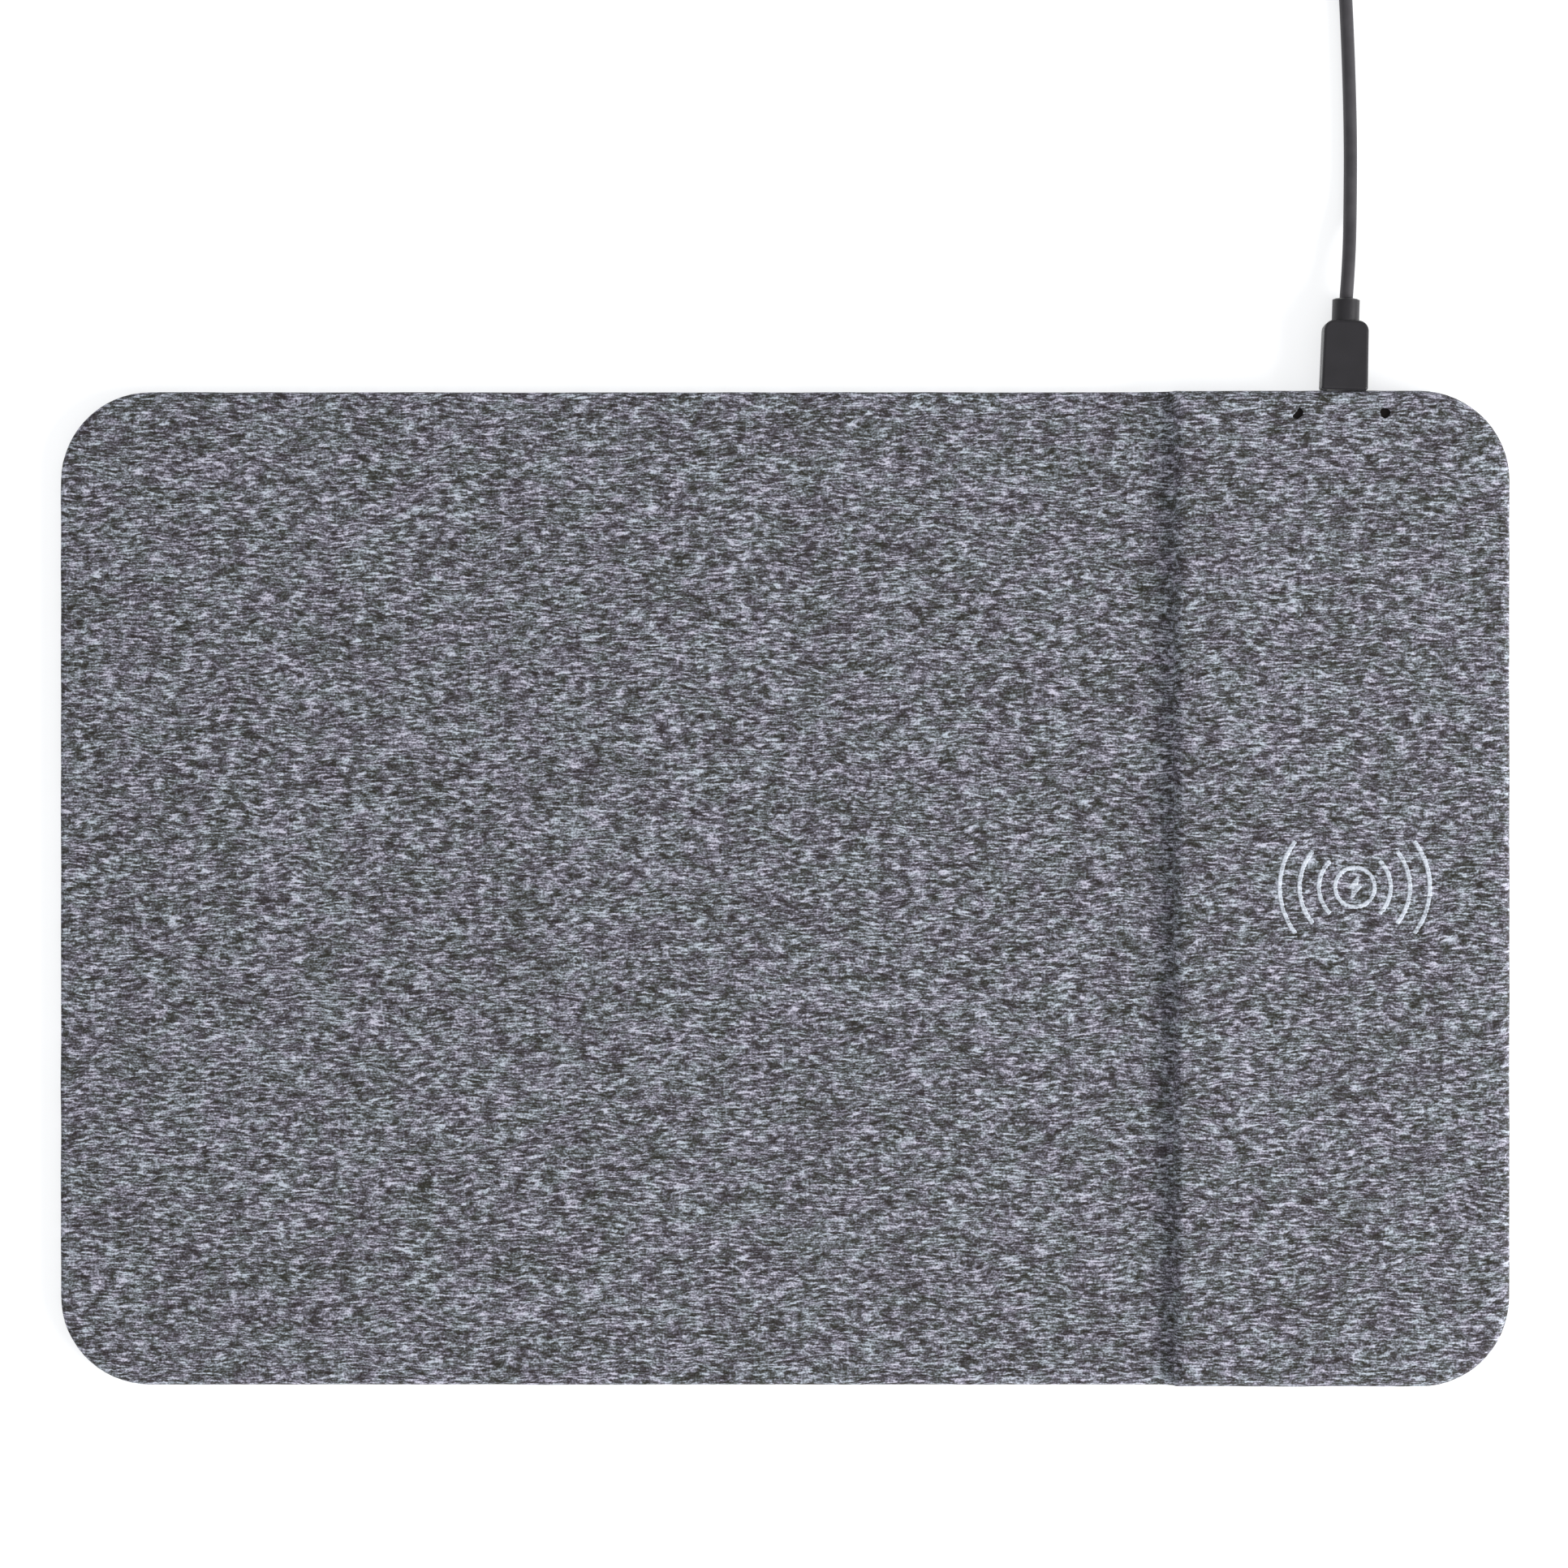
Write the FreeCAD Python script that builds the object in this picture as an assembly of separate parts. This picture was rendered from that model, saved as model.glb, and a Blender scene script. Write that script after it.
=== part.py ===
"""Cloth-covered mouse pad with a wireless charging module along its right side and a USB lead.

Millimetres. X is the width (right is +), Y the depth (back is +, where the lead plugs in), Z is up.
The origin is on the table, under the middle of the pad. Each sub-part is written to parts/NODE.step.
"""
import FreeCAD, Part
import math
import os

V = FreeCAD.Vector

# ---- Pad outline and the layers, from the table upward ----
HALF_WIDTH = 150.0
HALF_DEPTH = 102.95
CORNER_RADIUS = 18.6
RUBBER_TOP = 0.6
HEM_TOP = 1.0
BOARD_TOP = 2.0
MAT_TOP = 3.6
MODULE_TOP = 7.2
CLOTH = 0.4
RUBBER_INSET = 1.2
HEM_WIDTH = 8.0
MAT_EDGE_ROUND = 1.0
WINDOW_WIDTH, WINDOW_HEIGHT = 8.4, 3.2

# ---- Raised module: where its wall rises from the mat, and how its cloth edge is rounded ----
STEP_X = 80.8
STEP_CORNER = 2.4
MODULE_EDGE_ROUND = 2.0
FIT = 0.1
TRAY_LEFT = STEP_X + CLOTH + FIT
CASE_INSET = CLOTH + FIT
WALL = 1.2
TRAY_FLOOR_TOP = 2.8
CASE_SPLIT = 4.6
LID_UNDERSIDE = 5.8
LID_TOP = 6.75
LID_EDGE_ROUND = 1.5
LIP = 0.8
LIP_DROP = 0.7
RIB_X = (92.0, 105.0, 131.0, 144.0)
RIB_FRONT, RIB_BACK = -88.0, -32.0
RIB_WIDTH, RIB_DROP = 1.0, 0.6

# ---- Module screws: self-tapping, from below, before the board is glued on ----
SCREW_CORNERS = ((86.6, 94.0), (138.6, 91.0), (86.6, 40.0), (144.4, 40.0))
SCREW_PLACES = [(x, side * y) for side in (-1, 1) for x, y in SCREW_CORNERS]
SCREW_SHANK = 1.7
SCREW_HEAD = 3.2
SCREW_HEAD_HEIGHT = 0.75
SCREW_TIP = 5.5
COUNTERBORE_TOP = 2.9
CROSS_DEPTH, CROSS_HALF_WIDTH, CROSS_REACH = 0.4, 0.2, 0.3
TRAY_BOSS = 5.2
LID_BOSS = 4.4
BOSS_MEET = 3.8

# ---- Transmitter: ferrite, coil and the raised bed under them ----
COIL_X = 118.0
COIL_Y = 0.0
FERRITE_SIDE = 50.0
FERRITE_CORNER = 2.5
BED_HALF = FERRITE_SIDE / 2 + 0.5
BED_TOP = 3.8
BED_FRAME = 1.0
BED_FRAME_DROP = 0.2
POCKET_SIDE = 9.5
POCKET_TOP = 3.4
POCKET_X = (-23.0, -11.5, 2.5, 13.5)
POCKET_Y = (-23.0, -11.5, 2.0, 13.5)
FERRITE_TOP = 4.6
COIL_TAPE = 0.1
COIL_TAPE_DIAMETER, COIL_TAPE_HOLE = 46.0, 18.0
COIL_INNER_RADIUS = 10.5
COIL_TURNS = 10
COIL_WIRE = 1.0
COIL_PITCH = 1.1
LEAD_DIAMETER = 0.7
LEAD_SLOT = 1.6
LEAD_SLOT_START = 8.5
INNER_LEAD_ROUTE = [
    (0.0, 9.6, 4.2),
    (-0.1, 21.0, 3.7),
    (-0.6, 36.0, 3.6),
    (-1.6, 52.0, 3.9),
    (-3.0, 65.0, 4.9),
    (-3.6, 74.0, 4.7),
]
OUTER_LEAD_ROUTE = [
    (6.0, 24.2, 5.2),
    (7.4, 36.0, 5.1),
    (7.0, 52.0, 5.0),
    (5.0, 65.0, 5.0),
    (3.9, 74.0, 4.7),
]

# ---- Symbol printed on the cloth over the coil ----
SYMBOL_X, SYMBOL_Y = 117.8, 0.35
SYMBOL_DEPTH = 0.05
SYMBOL_RING_RADIUS = 4.08
SYMBOL_STROKE = 0.83
SYMBOL_ARCS = [(7.42, 47.0), (11.4, 41.0), (15.5, 38.0)]
SYMBOL_ARC_STROKE = 0.92
BOLT_HALF = [(0.55, 2.3), (0.95, 2.3), (0.68, 0.38), (1.75, 0.38)]

# ---- Circuit board and the socket in its back edge ----
PORT_X = 115.8
PORT_Z = 3.8
PCB_LEFT, PCB_RIGHT = 97.5, 133.5
PCB_FRONT, PCB_BACK = 72.0, 100.0
PCB_BOTTOM, PCB_TOP = 3.4, 4.2
PCB_CORNER = 1.0
PCB_SCREWS = [(100.2, 75.0), (130.8, 75.0), (100.2, 95.8), (130.8, 95.8)]
PCB_SCREW_SHANK, PCB_SCREW_HEAD = 1.4, 2.6
PCB_SCREW_HEAD_HEIGHT = 0.6
PCB_SCREW_TIP = 2.5
PCB_STAND = 4.0
PCB_PILOT_FLOOR = 2.4
LED_MIDDLE_X = 115.1
LED_PITCH = 18.0
LED_Y = 98.25
LED_HOLE = 2.1
LED_TOP = 4.8
LED_PLACES = [(LED_MIDDLE_X - LED_PITCH / 2, LED_Y), (LED_MIDDLE_X + LED_PITCH / 2, LED_Y)]
PIPE_STEM, PIPE_FLANGE = 2.3, 3.4
PIPE_GAP = 0.3
PIPE_SINK = 0.05

# ---- Components: width, depth and height of each, and where they stand on the board ----
CONTROLLER_SIZE = (5.0, 5.0, 0.85)
CONTROLLER_Y = 86.5
POWER_ROW_Y = 80.5
POWER_STAGE_SIZE = (3.3, 3.3, 0.8)
POWER_STAGE_X = (106.5, 111.5)
INDUCTOR_SIZE = (5.0, 5.0, 1.3)
INDUCTOR_PLACE = (125.5, 86.0)
INDUCTOR_CORNER = 0.8
RESONANT_SIZE = (2.5, 3.2, 1.2)
RESONANT_X = (117.0, 120.3, 123.6, 126.9)
CAPACITOR_SIZE = (0.8, 1.6, 0.8)
CAPACITOR_ROW = [(104.0 + 2.2 * index, 90.8) for index in range(4)]
CAPACITOR_COLUMN = [(119.6, 84.6 + 1.6 * index) for index in range(3)]
RESISTOR_SIZE = (0.5, 1.0, 0.35)
RESISTOR_ROW = [(103.0 + 1.5 * index, 86.2) for index in range(5)]
LED_RESISTOR_GAP = 3.2
LED_SIZE = (1.6, 0.8, LED_TOP - PCB_TOP)

# ---- Micro connector: the socket and the plug's metal end ----
SOCKET_FRONT, SOCKET_BACK = 102.2, 95.6
SOCKET_OUTER = (7.5, 2.5, 0.9)
SOCKET_INNER = (7.05, 1.98, 0.75)
PLUG_OUTER = (6.85, 1.8, 0.7)
PLUG_INNER = (6.35, 1.3, 0.55)
SOCKET_ROOM = 0.25
SOCKET_BAY_FLOOR = 2.45
SOCKET_BLOCK_Y = 96.9
WING_Y = (96.2, 98.4)
WING_LENGTH, WING_REACH, WING_THICKNESS = 1.2, 1.3, 0.25
TONGUE_HALF_WIDTH = 1.9
TONGUE_END_Y = 101.2
TONGUE_LOW, TONGUE_HIGH = PORT_Z + 0.05, PORT_Z + 0.55
CONTACT_COUNT = 5
CONTACT_PITCH = 0.65
CONTACT_WIDTH = 0.35
CONTACT_THICKNESS = 0.1
SOCKET_CONTACT_END_Y = 101.0
SOLDER_TAIL = 1.4
PLUG_FACE_Y = 103.1
PLUG_TIP_Y = 97.1
PLUG_SHELL_END_Y = 108.6
PLUG_SHELF_END_Y = 101.6
PLUG_CONTACT_START_Y = PLUG_TIP_Y + 0.6
PLUG_CONTACT_TOP = PORT_Z - 0.05

# ---- Lead: micro plug's moulded body, cord, put-away coil and the far plug ----
PLUG_LEAN_DEG = 1.8
OVERMOLD_LENGTH = 14.4
OVERMOLD_BASE, OVERMOLD_END, OVERMOLD_HEIGHT = 9.6, 9.2, 6.4
SHOULDER_RADIUS = 2.2
FACE_CORNER = 0.5
OVERMOLD_EDGE_ROUND = 0.6
COLLAR_DIAMETER = 5.7
COLLAR_START, COLLAR_END, COLLAR_TIP = 12.0, 18.75, 19.0
COLLAR_TIP_DIAMETER = 4.7
CORD_DIAMETER = 2.8
CORD_RADIUS = CORD_DIAMETER / 2

TIE_THICKNESS = 0.6
TIE_HALF_WIDTH = 2.0
TIE_CORNER = 1.4
TWIST_DIAMETER, TWIST_LENGTH = 1.8, 13.0
TWIST_LIFT, TWIST_START = 0.5, -1.0
TWIST_DIRECTION = V(0.25, 1.0, 0.0)
COIL_CENTRE = V(93.0, 212.0, 0)
CORD_COLUMNS = 5
CORD_LAYERS = 2
CORD_COIL_MID = 16.8
CORD_COIL_TURNS = 10.25
CORD_COIL_CORNER = 1.0

USB_A_AXIS = V(50.0, 231.0, 4.0)
USB_A_RELIEF, USB_A_BODY, USB_A_SHELL = 10.0, 23.0, 12.0
USB_A_FACE = USB_A_RELIEF + USB_A_BODY
USB_A_TIP = USB_A_FACE + USB_A_SHELL
USB_A_SHELL_BACK = USB_A_FACE - 5.0
USB_A_BODY_SECTION = (15.4, 8.0)
USB_A_BODY_ROUND, USB_A_BACK_ROUND = 1.6, 1.2
USB_A_SHELL_SECTION = (12.0, 4.5)
USB_A_SHELL_INSIDE = (11.4, 3.9)
USB_A_WINDOW_SIDE, USB_A_WINDOW_Y, USB_A_WINDOW_DEPTH = 2.0, 2.9, 5.2
USB_A_CONTACTS_Y = (-3.5, -1.0, 1.0, 3.5)
USB_A_CONTACT_WIDTH, USB_A_CONTACT_LENGTH, USB_A_CONTACT_INSET = 1.0, 8.0, 0.8
USB_A_CONTACT_THICKNESS = 0.12
USB_A_SHELF_TOP = 3.95
RELIEF_THIN, RELIEF_FAT = 2.0, 3.0
RELIEF_GROOVES = 4
RELIEF_GROOVE_START, RELIEF_GROOVE_PITCH, RELIEF_GROOVE_WIDTH = 2.2, 1.9, 0.7
RELIEF_CORE, RELIEF_CORE_GROWTH = 1.75, 0.1

LEAD_IN_ROUTE = [
    (116.40, 122.09, 3.8),
    (117.05, 130.57, 3.7),
    (117.49, 142.06, 1.4),
    (117.56, 155.56, 1.4),
    (117.20, 170.06, 1.4),
    (116.60, 184.00, 1.4),
    (115.90, 195.50, 1.6),
    (115.45, 205.50, 2.0),
]
TAIL_ROUTE = [
    (86.0, 234.5, 4.8),
    (77.6, 234.2, 2.4),
    (68.0, 232.6, 1.5),
    (58.6, 231.2, 3.7),
    (50.0, 231.0, 4.0),
]


# ---------------------------------------------------------------- helpers
def block(x0, x1, y0, y1, z0, z1):
    return Part.makeBox(x1 - x0, y1 - y0, z1 - z0, V(x0, y0, z0))


def post(place, diameter, z0, z1):
    return Part.makeCylinder(diameter / 2, z1 - z0, V(place[0], place[1], z0))


def joined(shapes):
    """All the shapes fused into one."""
    shapes = list(shapes)
    if len(shapes) == 1:
        return shapes[0]
    return shapes[0].multiFuse(shapes[1:]).removeSplitter()


def cut_all(shape, tools):
    return shape.cut(joined(tools))


def is_flat_at(edge, z):
    box = edge.BoundBox
    return abs(box.ZMin - z) < 1e-4 and abs(box.ZMax - z) < 1e-4


def edges_along(shape, axis):
    """The straight edges that run along one axis."""
    across = [other for other in "XYZ" if other != axis]
    return [e for e in shape.Edges if all(getattr(e.BoundBox, other + "Length") < 1e-4 for other in across)]


def upright_edges(shape, keep=lambda x, y: True):
    """The straight vertical edges whose plan place passes keep(x, y)."""
    return [e for e in edges_along(shape, "Z") if keep(e.BoundBox.XMin, e.BoundBox.YMin)]


def slab(x0, x1, half_depth, z0, z1, left_radius, right_radius, top_round=0.0):
    """A plate, the same front and back, with one corner radius at its left and one at its right."""
    body = block(x0, x1, -half_depth, half_depth, z0, z1)
    for x, radius in ((x0, left_radius), (x1, right_radius)):
        if radius > 0:
            body = body.makeFillet(radius, upright_edges(body, lambda ex, ey: abs(ex - x) < 1e-4))
    if top_round > 0:
        body = body.makeFillet(top_round, [edge for edge in body.Edges if is_flat_at(edge, z1)])
    return body


def pad_slab(inset, z0, z1, top_round=0.0):
    """The pad's whole outline moved inward by inset."""
    radius = CORNER_RADIUS - inset
    half_width = HALF_WIDTH - inset
    return slab(-half_width, half_width, HALF_DEPTH - inset, z0, z1, radius, radius, top_round)


def case_slab(inset, z0, z1, top_round=0.0):
    """The module case's outline moved inward by inset."""
    left = TRAY_LEFT + inset
    right = HALF_WIDTH - CASE_INSET - inset
    half_depth = HALF_DEPTH - CASE_INSET - inset
    left_radius = max(STEP_CORNER - CASE_INSET - inset, 0.3)
    right_radius = CORNER_RADIUS - CASE_INSET - inset
    return slab(left, right, half_depth, z0, z1, left_radius, right_radius, top_round)


def port_block(section, y0, y1):
    """The micro connector's section, flat on top with its lower corners cut off, round the port's axis."""
    half_width, half_height, cut = section[0] / 2, section[1] / 2, section[2]
    outline = [
        (-half_width, half_height),
        (half_width, half_height),
        (half_width, cut - half_height),
        (half_width - cut, -half_height),
        (cut - half_width, -half_height),
        (-half_width, cut - half_height),
    ]
    points = [V(PORT_X + x, y0, PORT_Z + z) for x, z in outline]
    return Part.Face(Part.makePolygon(points + points[:1])).extrude(V(0, y1 - y0, 0))


def rounded_path(points):
    """Straight runs joined by tangent arcs, each arc as large as its two runs allow."""
    points = [V(*point) for point in points]
    edges = []
    radii = []
    start = points[0]
    for before, corner, after in zip(points, points[1:], points[2:]):
        into = (corner - before).normalize()
        out = (after - corner).normalize()
        half_turn = into.getAngle(out) / 2
        reach = 0.45 * min((corner - before).Length, (after - corner).Length)
        radius = reach / math.tan(half_turn)
        arc_start = corner - into * reach
        arc_end = corner + out * reach
        inward = (out - into).normalize()
        middle = corner + inward * (radius / math.cos(half_turn) - radius)
        edges.append(Part.LineSegment(start, arc_start).toShape())
        edges.append(Part.Arc(arc_start, middle, arc_end).toShape())
        radii.append(radius)
        start = arc_end
    edges.append(Part.LineSegment(start, points[-1]).toShape())
    return Part.Wire(edges), radii


def tube(points, diameter, name):
    """A round tube along a rounded path, with its radii and its volume checked in print."""
    path, radii = rounded_path(points)
    direction = V(*points[1]) - V(*points[0])
    ring = Part.Wire(Part.makeCircle(diameter / 2, V(*points[0]), direction))
    body = path.makePipeShell([ring], True, True)
    expected = math.pi * diameter**2 / 4 * path.Length
    radii_text = ", ".join(f"{radius:.0f}" for radius in radii)
    share = body.Volume / expected
    print(f"{name}: length {path.Length:.1f}, volume/expected {share:.4f}, radii {radii_text}")
    return body, path.Length


def plug_place(shape):
    """Moves a shape built along +Y from the origin to the micro plug's face, with the plug's lean."""
    shape = shape.copy()
    shape.rotate(V(0, 0, 0), V(0, 0, 1), -PLUG_LEAN_DEG)
    shape.translate(V(PORT_X, PLUG_FACE_Y, PORT_Z))
    return shape


# ---------------------------------------------------------------- printed symbol
def symbol_arc(radius, half_angle_deg, side):
    """One printed arc with round ends, on the right (side 1) or the left (side -1)."""
    half = math.radians(half_angle_deg)
    stroke = SYMBOL_ARC_STROKE / 2

    def at(distance, angle):
        return V(side * distance * math.cos(angle), distance * math.sin(angle), 0)

    def round_end(angle, outward):
        tip = at(radius, angle + outward * stroke / radius)
        near, far = at(radius + outward * stroke, angle), at(radius - outward * stroke, angle)
        return Part.Arc(near, tip, far).toShape()

    outer = Part.Arc(at(radius + stroke, -half), at(radius + stroke, 0), at(radius + stroke, half)).toShape()
    inner = Part.Arc(at(radius - stroke, half), at(radius - stroke, 0), at(radius - stroke, -half)).toShape()
    return Part.Face(Part.Wire([outer, round_end(half, 1), inner, round_end(-half, -1)]))


def symbol_solids():
    """Ring, bolt and the six arcs, as thin solids whose tops are level with the cloth."""
    outer = Part.Wire(Part.makeCircle(SYMBOL_RING_RADIUS + SYMBOL_STROKE / 2))
    inner = Part.Wire(Part.makeCircle(SYMBOL_RING_RADIUS - SYMBOL_STROKE / 2))
    ring = Part.Face(outer).cut(Part.Face(inner)).Faces[0]
    bolt_points = [V(x, y, 0) for x, y in BOLT_HALF] + [V(-x, -y, 0) for x, y in BOLT_HALF]
    bolt = Part.Face(Part.makePolygon(bolt_points + bolt_points[:1]))
    faces = [ring, bolt]
    for radius, half_angle in SYMBOL_ARCS:
        faces += [symbol_arc(radius, half_angle, side) for side in (-1, 1)]
    solids = []
    for face in faces:
        face.translate(V(SYMBOL_X, SYMBOL_Y, MODULE_TOP - SYMBOL_DEPTH))
        solids.append(face.extrude(V(0, 0, SYMBOL_DEPTH)))
    return solids


# ---------------------------------------------------------------- pad layers
def cloth_form(inset):
    """The pad's stepped outer form, moved inward all over by inset."""
    mat = pad_slab(inset, RUBBER_TOP + inset, MAT_TOP - inset, MAT_EDGE_ROUND - inset)
    module = slab(
        STEP_X + inset,
        HALF_WIDTH - inset,
        HALF_DEPTH - inset,
        RUBBER_TOP + inset,
        MODULE_TOP - inset,
        STEP_CORNER - inset,
        CORNER_RADIUS - inset,
        MODULE_EDGE_ROUND - inset,
    )
    return joined([mat, module])


def port_window(y0, y1):
    """A hole with round ends through the back wall, round the port's axis."""
    left, right = PORT_X - WINDOW_WIDTH / 2, PORT_X + WINDOW_WIDTH / 2
    bottom, top = PORT_Z - WINDOW_HEIGHT / 2, PORT_Z + WINDOW_HEIGHT / 2
    window = block(left, right, y0, y1, bottom, top)
    return window.makeFillet(WINDOW_HEIGHT * 0.4, edges_along(window, "Y"))


def make_fabric_cover():
    """One skin over mat and module, turned down at the edges and under the board as a hem."""
    skin = cloth_form(0.0).cut(cloth_form(CLOTH))
    skin = skin.cut(pad_slab(HEM_WIDTH, RUBBER_TOP - 1, HEM_TOP))
    holes = [post(place, LED_HOLE, LID_TOP - 1, MODULE_TOP + 1) for place in LED_PLACES]
    window = port_window(HALF_DEPTH - 1.5, HALF_DEPTH + 1)
    return cut_all(skin, holes + [window] + symbol_solids())


def make_base_sheet():
    return pad_slab(RUBBER_INSET, 0.0, RUBBER_TOP)


def make_adhesive_sheet():
    return pad_slab(HEM_WIDTH + FIT, RUBBER_TOP, HEM_TOP)


def make_base_board():
    return pad_slab(CLOTH + FIT, HEM_TOP, BOARD_TOP)


def make_foam_mat():
    """Foam under the mat's cloth, from the left edge to the module's case."""
    left = -HALF_WIDTH + CLOTH + FIT
    half_depth = HALF_DEPTH - CLOTH - FIT
    radius = CORNER_RADIUS - CLOTH - FIT
    edge_round = MAT_EDGE_ROUND - CLOTH - FIT
    body = slab(left, STEP_X + CLOTH, half_depth, BOARD_TOP, MAT_TOP - CLOTH, radius, 0.0)
    return body.common(pad_slab(CLOTH + FIT, BOARD_TOP - 1, MAT_TOP - CLOTH, edge_round))


# ---------------------------------------------------------------- module case
def socket_bay(z0, z1):
    """Room in the case's back wall and floor for the socket."""
    half = SOCKET_OUTER[0] / 2 + SOCKET_ROOM
    return block(PORT_X - half, PORT_X + half, SOCKET_BACK - SOCKET_ROOM, HALF_DEPTH, z0, z1)


def coil_block(half, z0, z1):
    """A square block centred on the coil."""
    return block(COIL_X - half, COIL_X + half, COIL_Y - half, COIL_Y + half, z0, z1)


def tray_bed():
    """The raised bed under the ferrite plate, with a frame round it and a slot for the coil's leads."""
    bed = coil_block(BED_HALF, TRAY_FLOOR_TOP, BED_TOP)
    frame = coil_block(BED_HALF + BED_FRAME, TRAY_FLOOR_TOP, FERRITE_TOP - BED_FRAME_DROP)
    inside = coil_block(BED_HALF, BED_TOP, MODULE_TOP)
    slot_end = COIL_Y + BED_HALF + BED_FRAME + 1
    slot = block(COIL_X - LEAD_SLOT, COIL_X + LEAD_SLOT, COIL_Y, slot_end, TRAY_FLOOR_TOP + 0.4, MODULE_TOP)
    return joined([bed, frame]).cut(joined([inside, slot]))


def bed_pockets():
    """Hollows under the bed, which keep its wall thickness even."""
    corners = [(COIL_X + x, COIL_Y + y) for x in POCKET_X for y in POCKET_Y]
    return [block(x, x + POCKET_SIDE, y, y + POCKET_SIDE, BOARD_TOP - 1, POCKET_TOP) for x, y in corners]


def make_module_tray():
    tray = case_slab(0.0, BOARD_TOP, CASE_SPLIT).cut(case_slab(WALL, TRAY_FLOOR_TOP, CASE_SPLIT + 1))
    bosses = [post(place, TRAY_BOSS, BOARD_TOP, BOSS_MEET) for place in SCREW_PLACES]
    stands = [post(place, PCB_STAND, BOARD_TOP, PCB_BOTTOM) for place in PCB_SCREWS]
    tray = joined([tray, tray_bed()] + bosses + stands)
    counterbores = [post(place, SCREW_HEAD + 0.3, BOARD_TOP - 1, COUNTERBORE_TOP) for place in SCREW_PLACES]
    clearance = [post(place, SCREW_SHANK + 0.2, BOARD_TOP - 1, BOSS_MEET + 1) for place in SCREW_PLACES]
    pilots = [post(place, PCB_SCREW_SHANK, PCB_PILOT_FLOOR, PCB_BOTTOM + 1) for place in PCB_SCREWS]
    bay = socket_bay(SOCKET_BAY_FLOOR, CASE_SPLIT + 1)
    return cut_all(tray, counterbores + clearance + pilots + bed_pockets() + [bay])


def make_module_lid():
    plate = case_slab(0.0, CASE_SPLIT, LID_TOP, LID_EDGE_ROUND)
    lid = plate.cut(case_slab(WALL, CASE_SPLIT - 1, LID_UNDERSIDE))
    lip_outside = case_slab(WALL + FIT, CASE_SPLIT - LIP_DROP, LID_UNDERSIDE)
    lip = lip_outside.cut(case_slab(WALL + FIT + LIP, 0, LID_UNDERSIDE + 1))
    bosses = [post(place, LID_BOSS, BOSS_MEET, LID_UNDERSIDE) for place in SCREW_PLACES]
    rib_bottom = LID_UNDERSIDE - RIB_DROP
    ribs = [block(x, x + RIB_WIDTH, RIB_FRONT, RIB_BACK, rib_bottom, LID_UNDERSIDE) for x in RIB_X]
    lid = joined([lid, lip] + bosses + ribs)
    pilots = [post(place, SCREW_SHANK, BOSS_MEET - 1, SCREW_TIP + 0.2) for place in SCREW_PLACES]
    pipes = [post(place, PIPE_STEM + FIT, LID_UNDERSIDE - 1, LID_TOP + 1) for place in LED_PLACES]
    bay = socket_bay(BOSS_MEET - 1, PORT_Z + SOCKET_OUTER[1] / 2 + FIT)
    return cut_all(lid, pilots + pipes + [bay])


def cross_head_screw(place, shank, head, z_head, z_seat, z_tip):
    """A pan-head screw along Z: its head lies between z_head and z_seat, its tip at z_tip."""
    x, y = place
    body = joined([
        post(place, head, min(z_head, z_seat), max(z_head, z_seat)),
        post(place, shank, min(z_seat, z_tip), max(z_seat, z_tip)),
    ])
    arm = head * CROSS_REACH
    low, high = z_head - CROSS_DEPTH, z_head + CROSS_DEPTH
    bars = [
        block(x - half_x, x + half_x, y - half_y, y + half_y, low, high)
        for half_x, half_y in ((arm, CROSS_HALF_WIDTH), (CROSS_HALF_WIDTH, arm))
    ]
    return cut_all(body, bars)


def make_module_screws():
    head_low = BOARD_TOP + FIT
    seat = head_low + SCREW_HEAD_HEIGHT
    return [
        cross_head_screw(place, SCREW_SHANK, SCREW_HEAD, head_low, seat, SCREW_TIP) for place in SCREW_PLACES
    ]


def make_light_pipes():
    """Smoked light pipes: a flange glued under the lid and a stem up into its hole."""
    pipes = []
    for place in LED_PLACES:
        flange = post(place, PIPE_FLANGE, LED_TOP + PIPE_GAP, LID_UNDERSIDE)
        stem = post(place, PIPE_STEM, LID_UNDERSIDE, LID_TOP - PIPE_SINK)
        pipes.append(joined([flange, stem]))
    return pipes


# ---------------------------------------------------------------- transmitter
def lead_slot(y_end):
    """Room for the coil's inner lead, from near the coil's middle back to y_end."""
    half = LEAD_SLOT / 2
    return block(COIL_X - half, COIL_X + half, COIL_Y + LEAD_SLOT_START, y_end, TRAY_FLOOR_TOP, MODULE_TOP)


def make_ferrite_plate():
    half = FERRITE_SIDE / 2
    plate = coil_block(half, BED_TOP, FERRITE_TOP)
    plate = plate.makeFillet(FERRITE_CORNER, upright_edges(plate))
    return plate.cut(lead_slot(COIL_Y + half + 1))


def make_coil_tape():
    middle = (COIL_X, COIL_Y)
    disc = post(middle, COIL_TAPE_DIAMETER, FERRITE_TOP, FERRITE_TOP + COIL_TAPE)
    hole = post(middle, COIL_TAPE_HOLE, TRAY_FLOOR_TOP, MODULE_TOP)
    return cut_all(disc, [hole, lead_slot(COIL_Y + COIL_TAPE_DIAMETER)])


def make_transmit_coil():
    """A flat spiral of half turns, whose centres alternate along Y by one half turn's growth."""
    height = FERRITE_TOP + COIL_TAPE + COIL_WIRE / 2
    growth = COIL_PITCH / 2
    halves = []
    for index in range(2 * COIL_TURNS):
        starts_behind = index % 2 == 0
        side = 1 if starts_behind else -1
        centre = V(COIL_X, COIL_Y if starts_behind else COIL_Y + growth, height)
        start = centre + V(0, side * (COIL_INNER_RADIUS + growth * index), 0)
        section = Part.Face(Part.Wire(Part.makeCircle(COIL_WIRE / 2, start, V(-side, 0, 0))))
        halves.append(section.revolve(centre, V(0, 0, 1), 180))
    return joined(halves)


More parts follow.
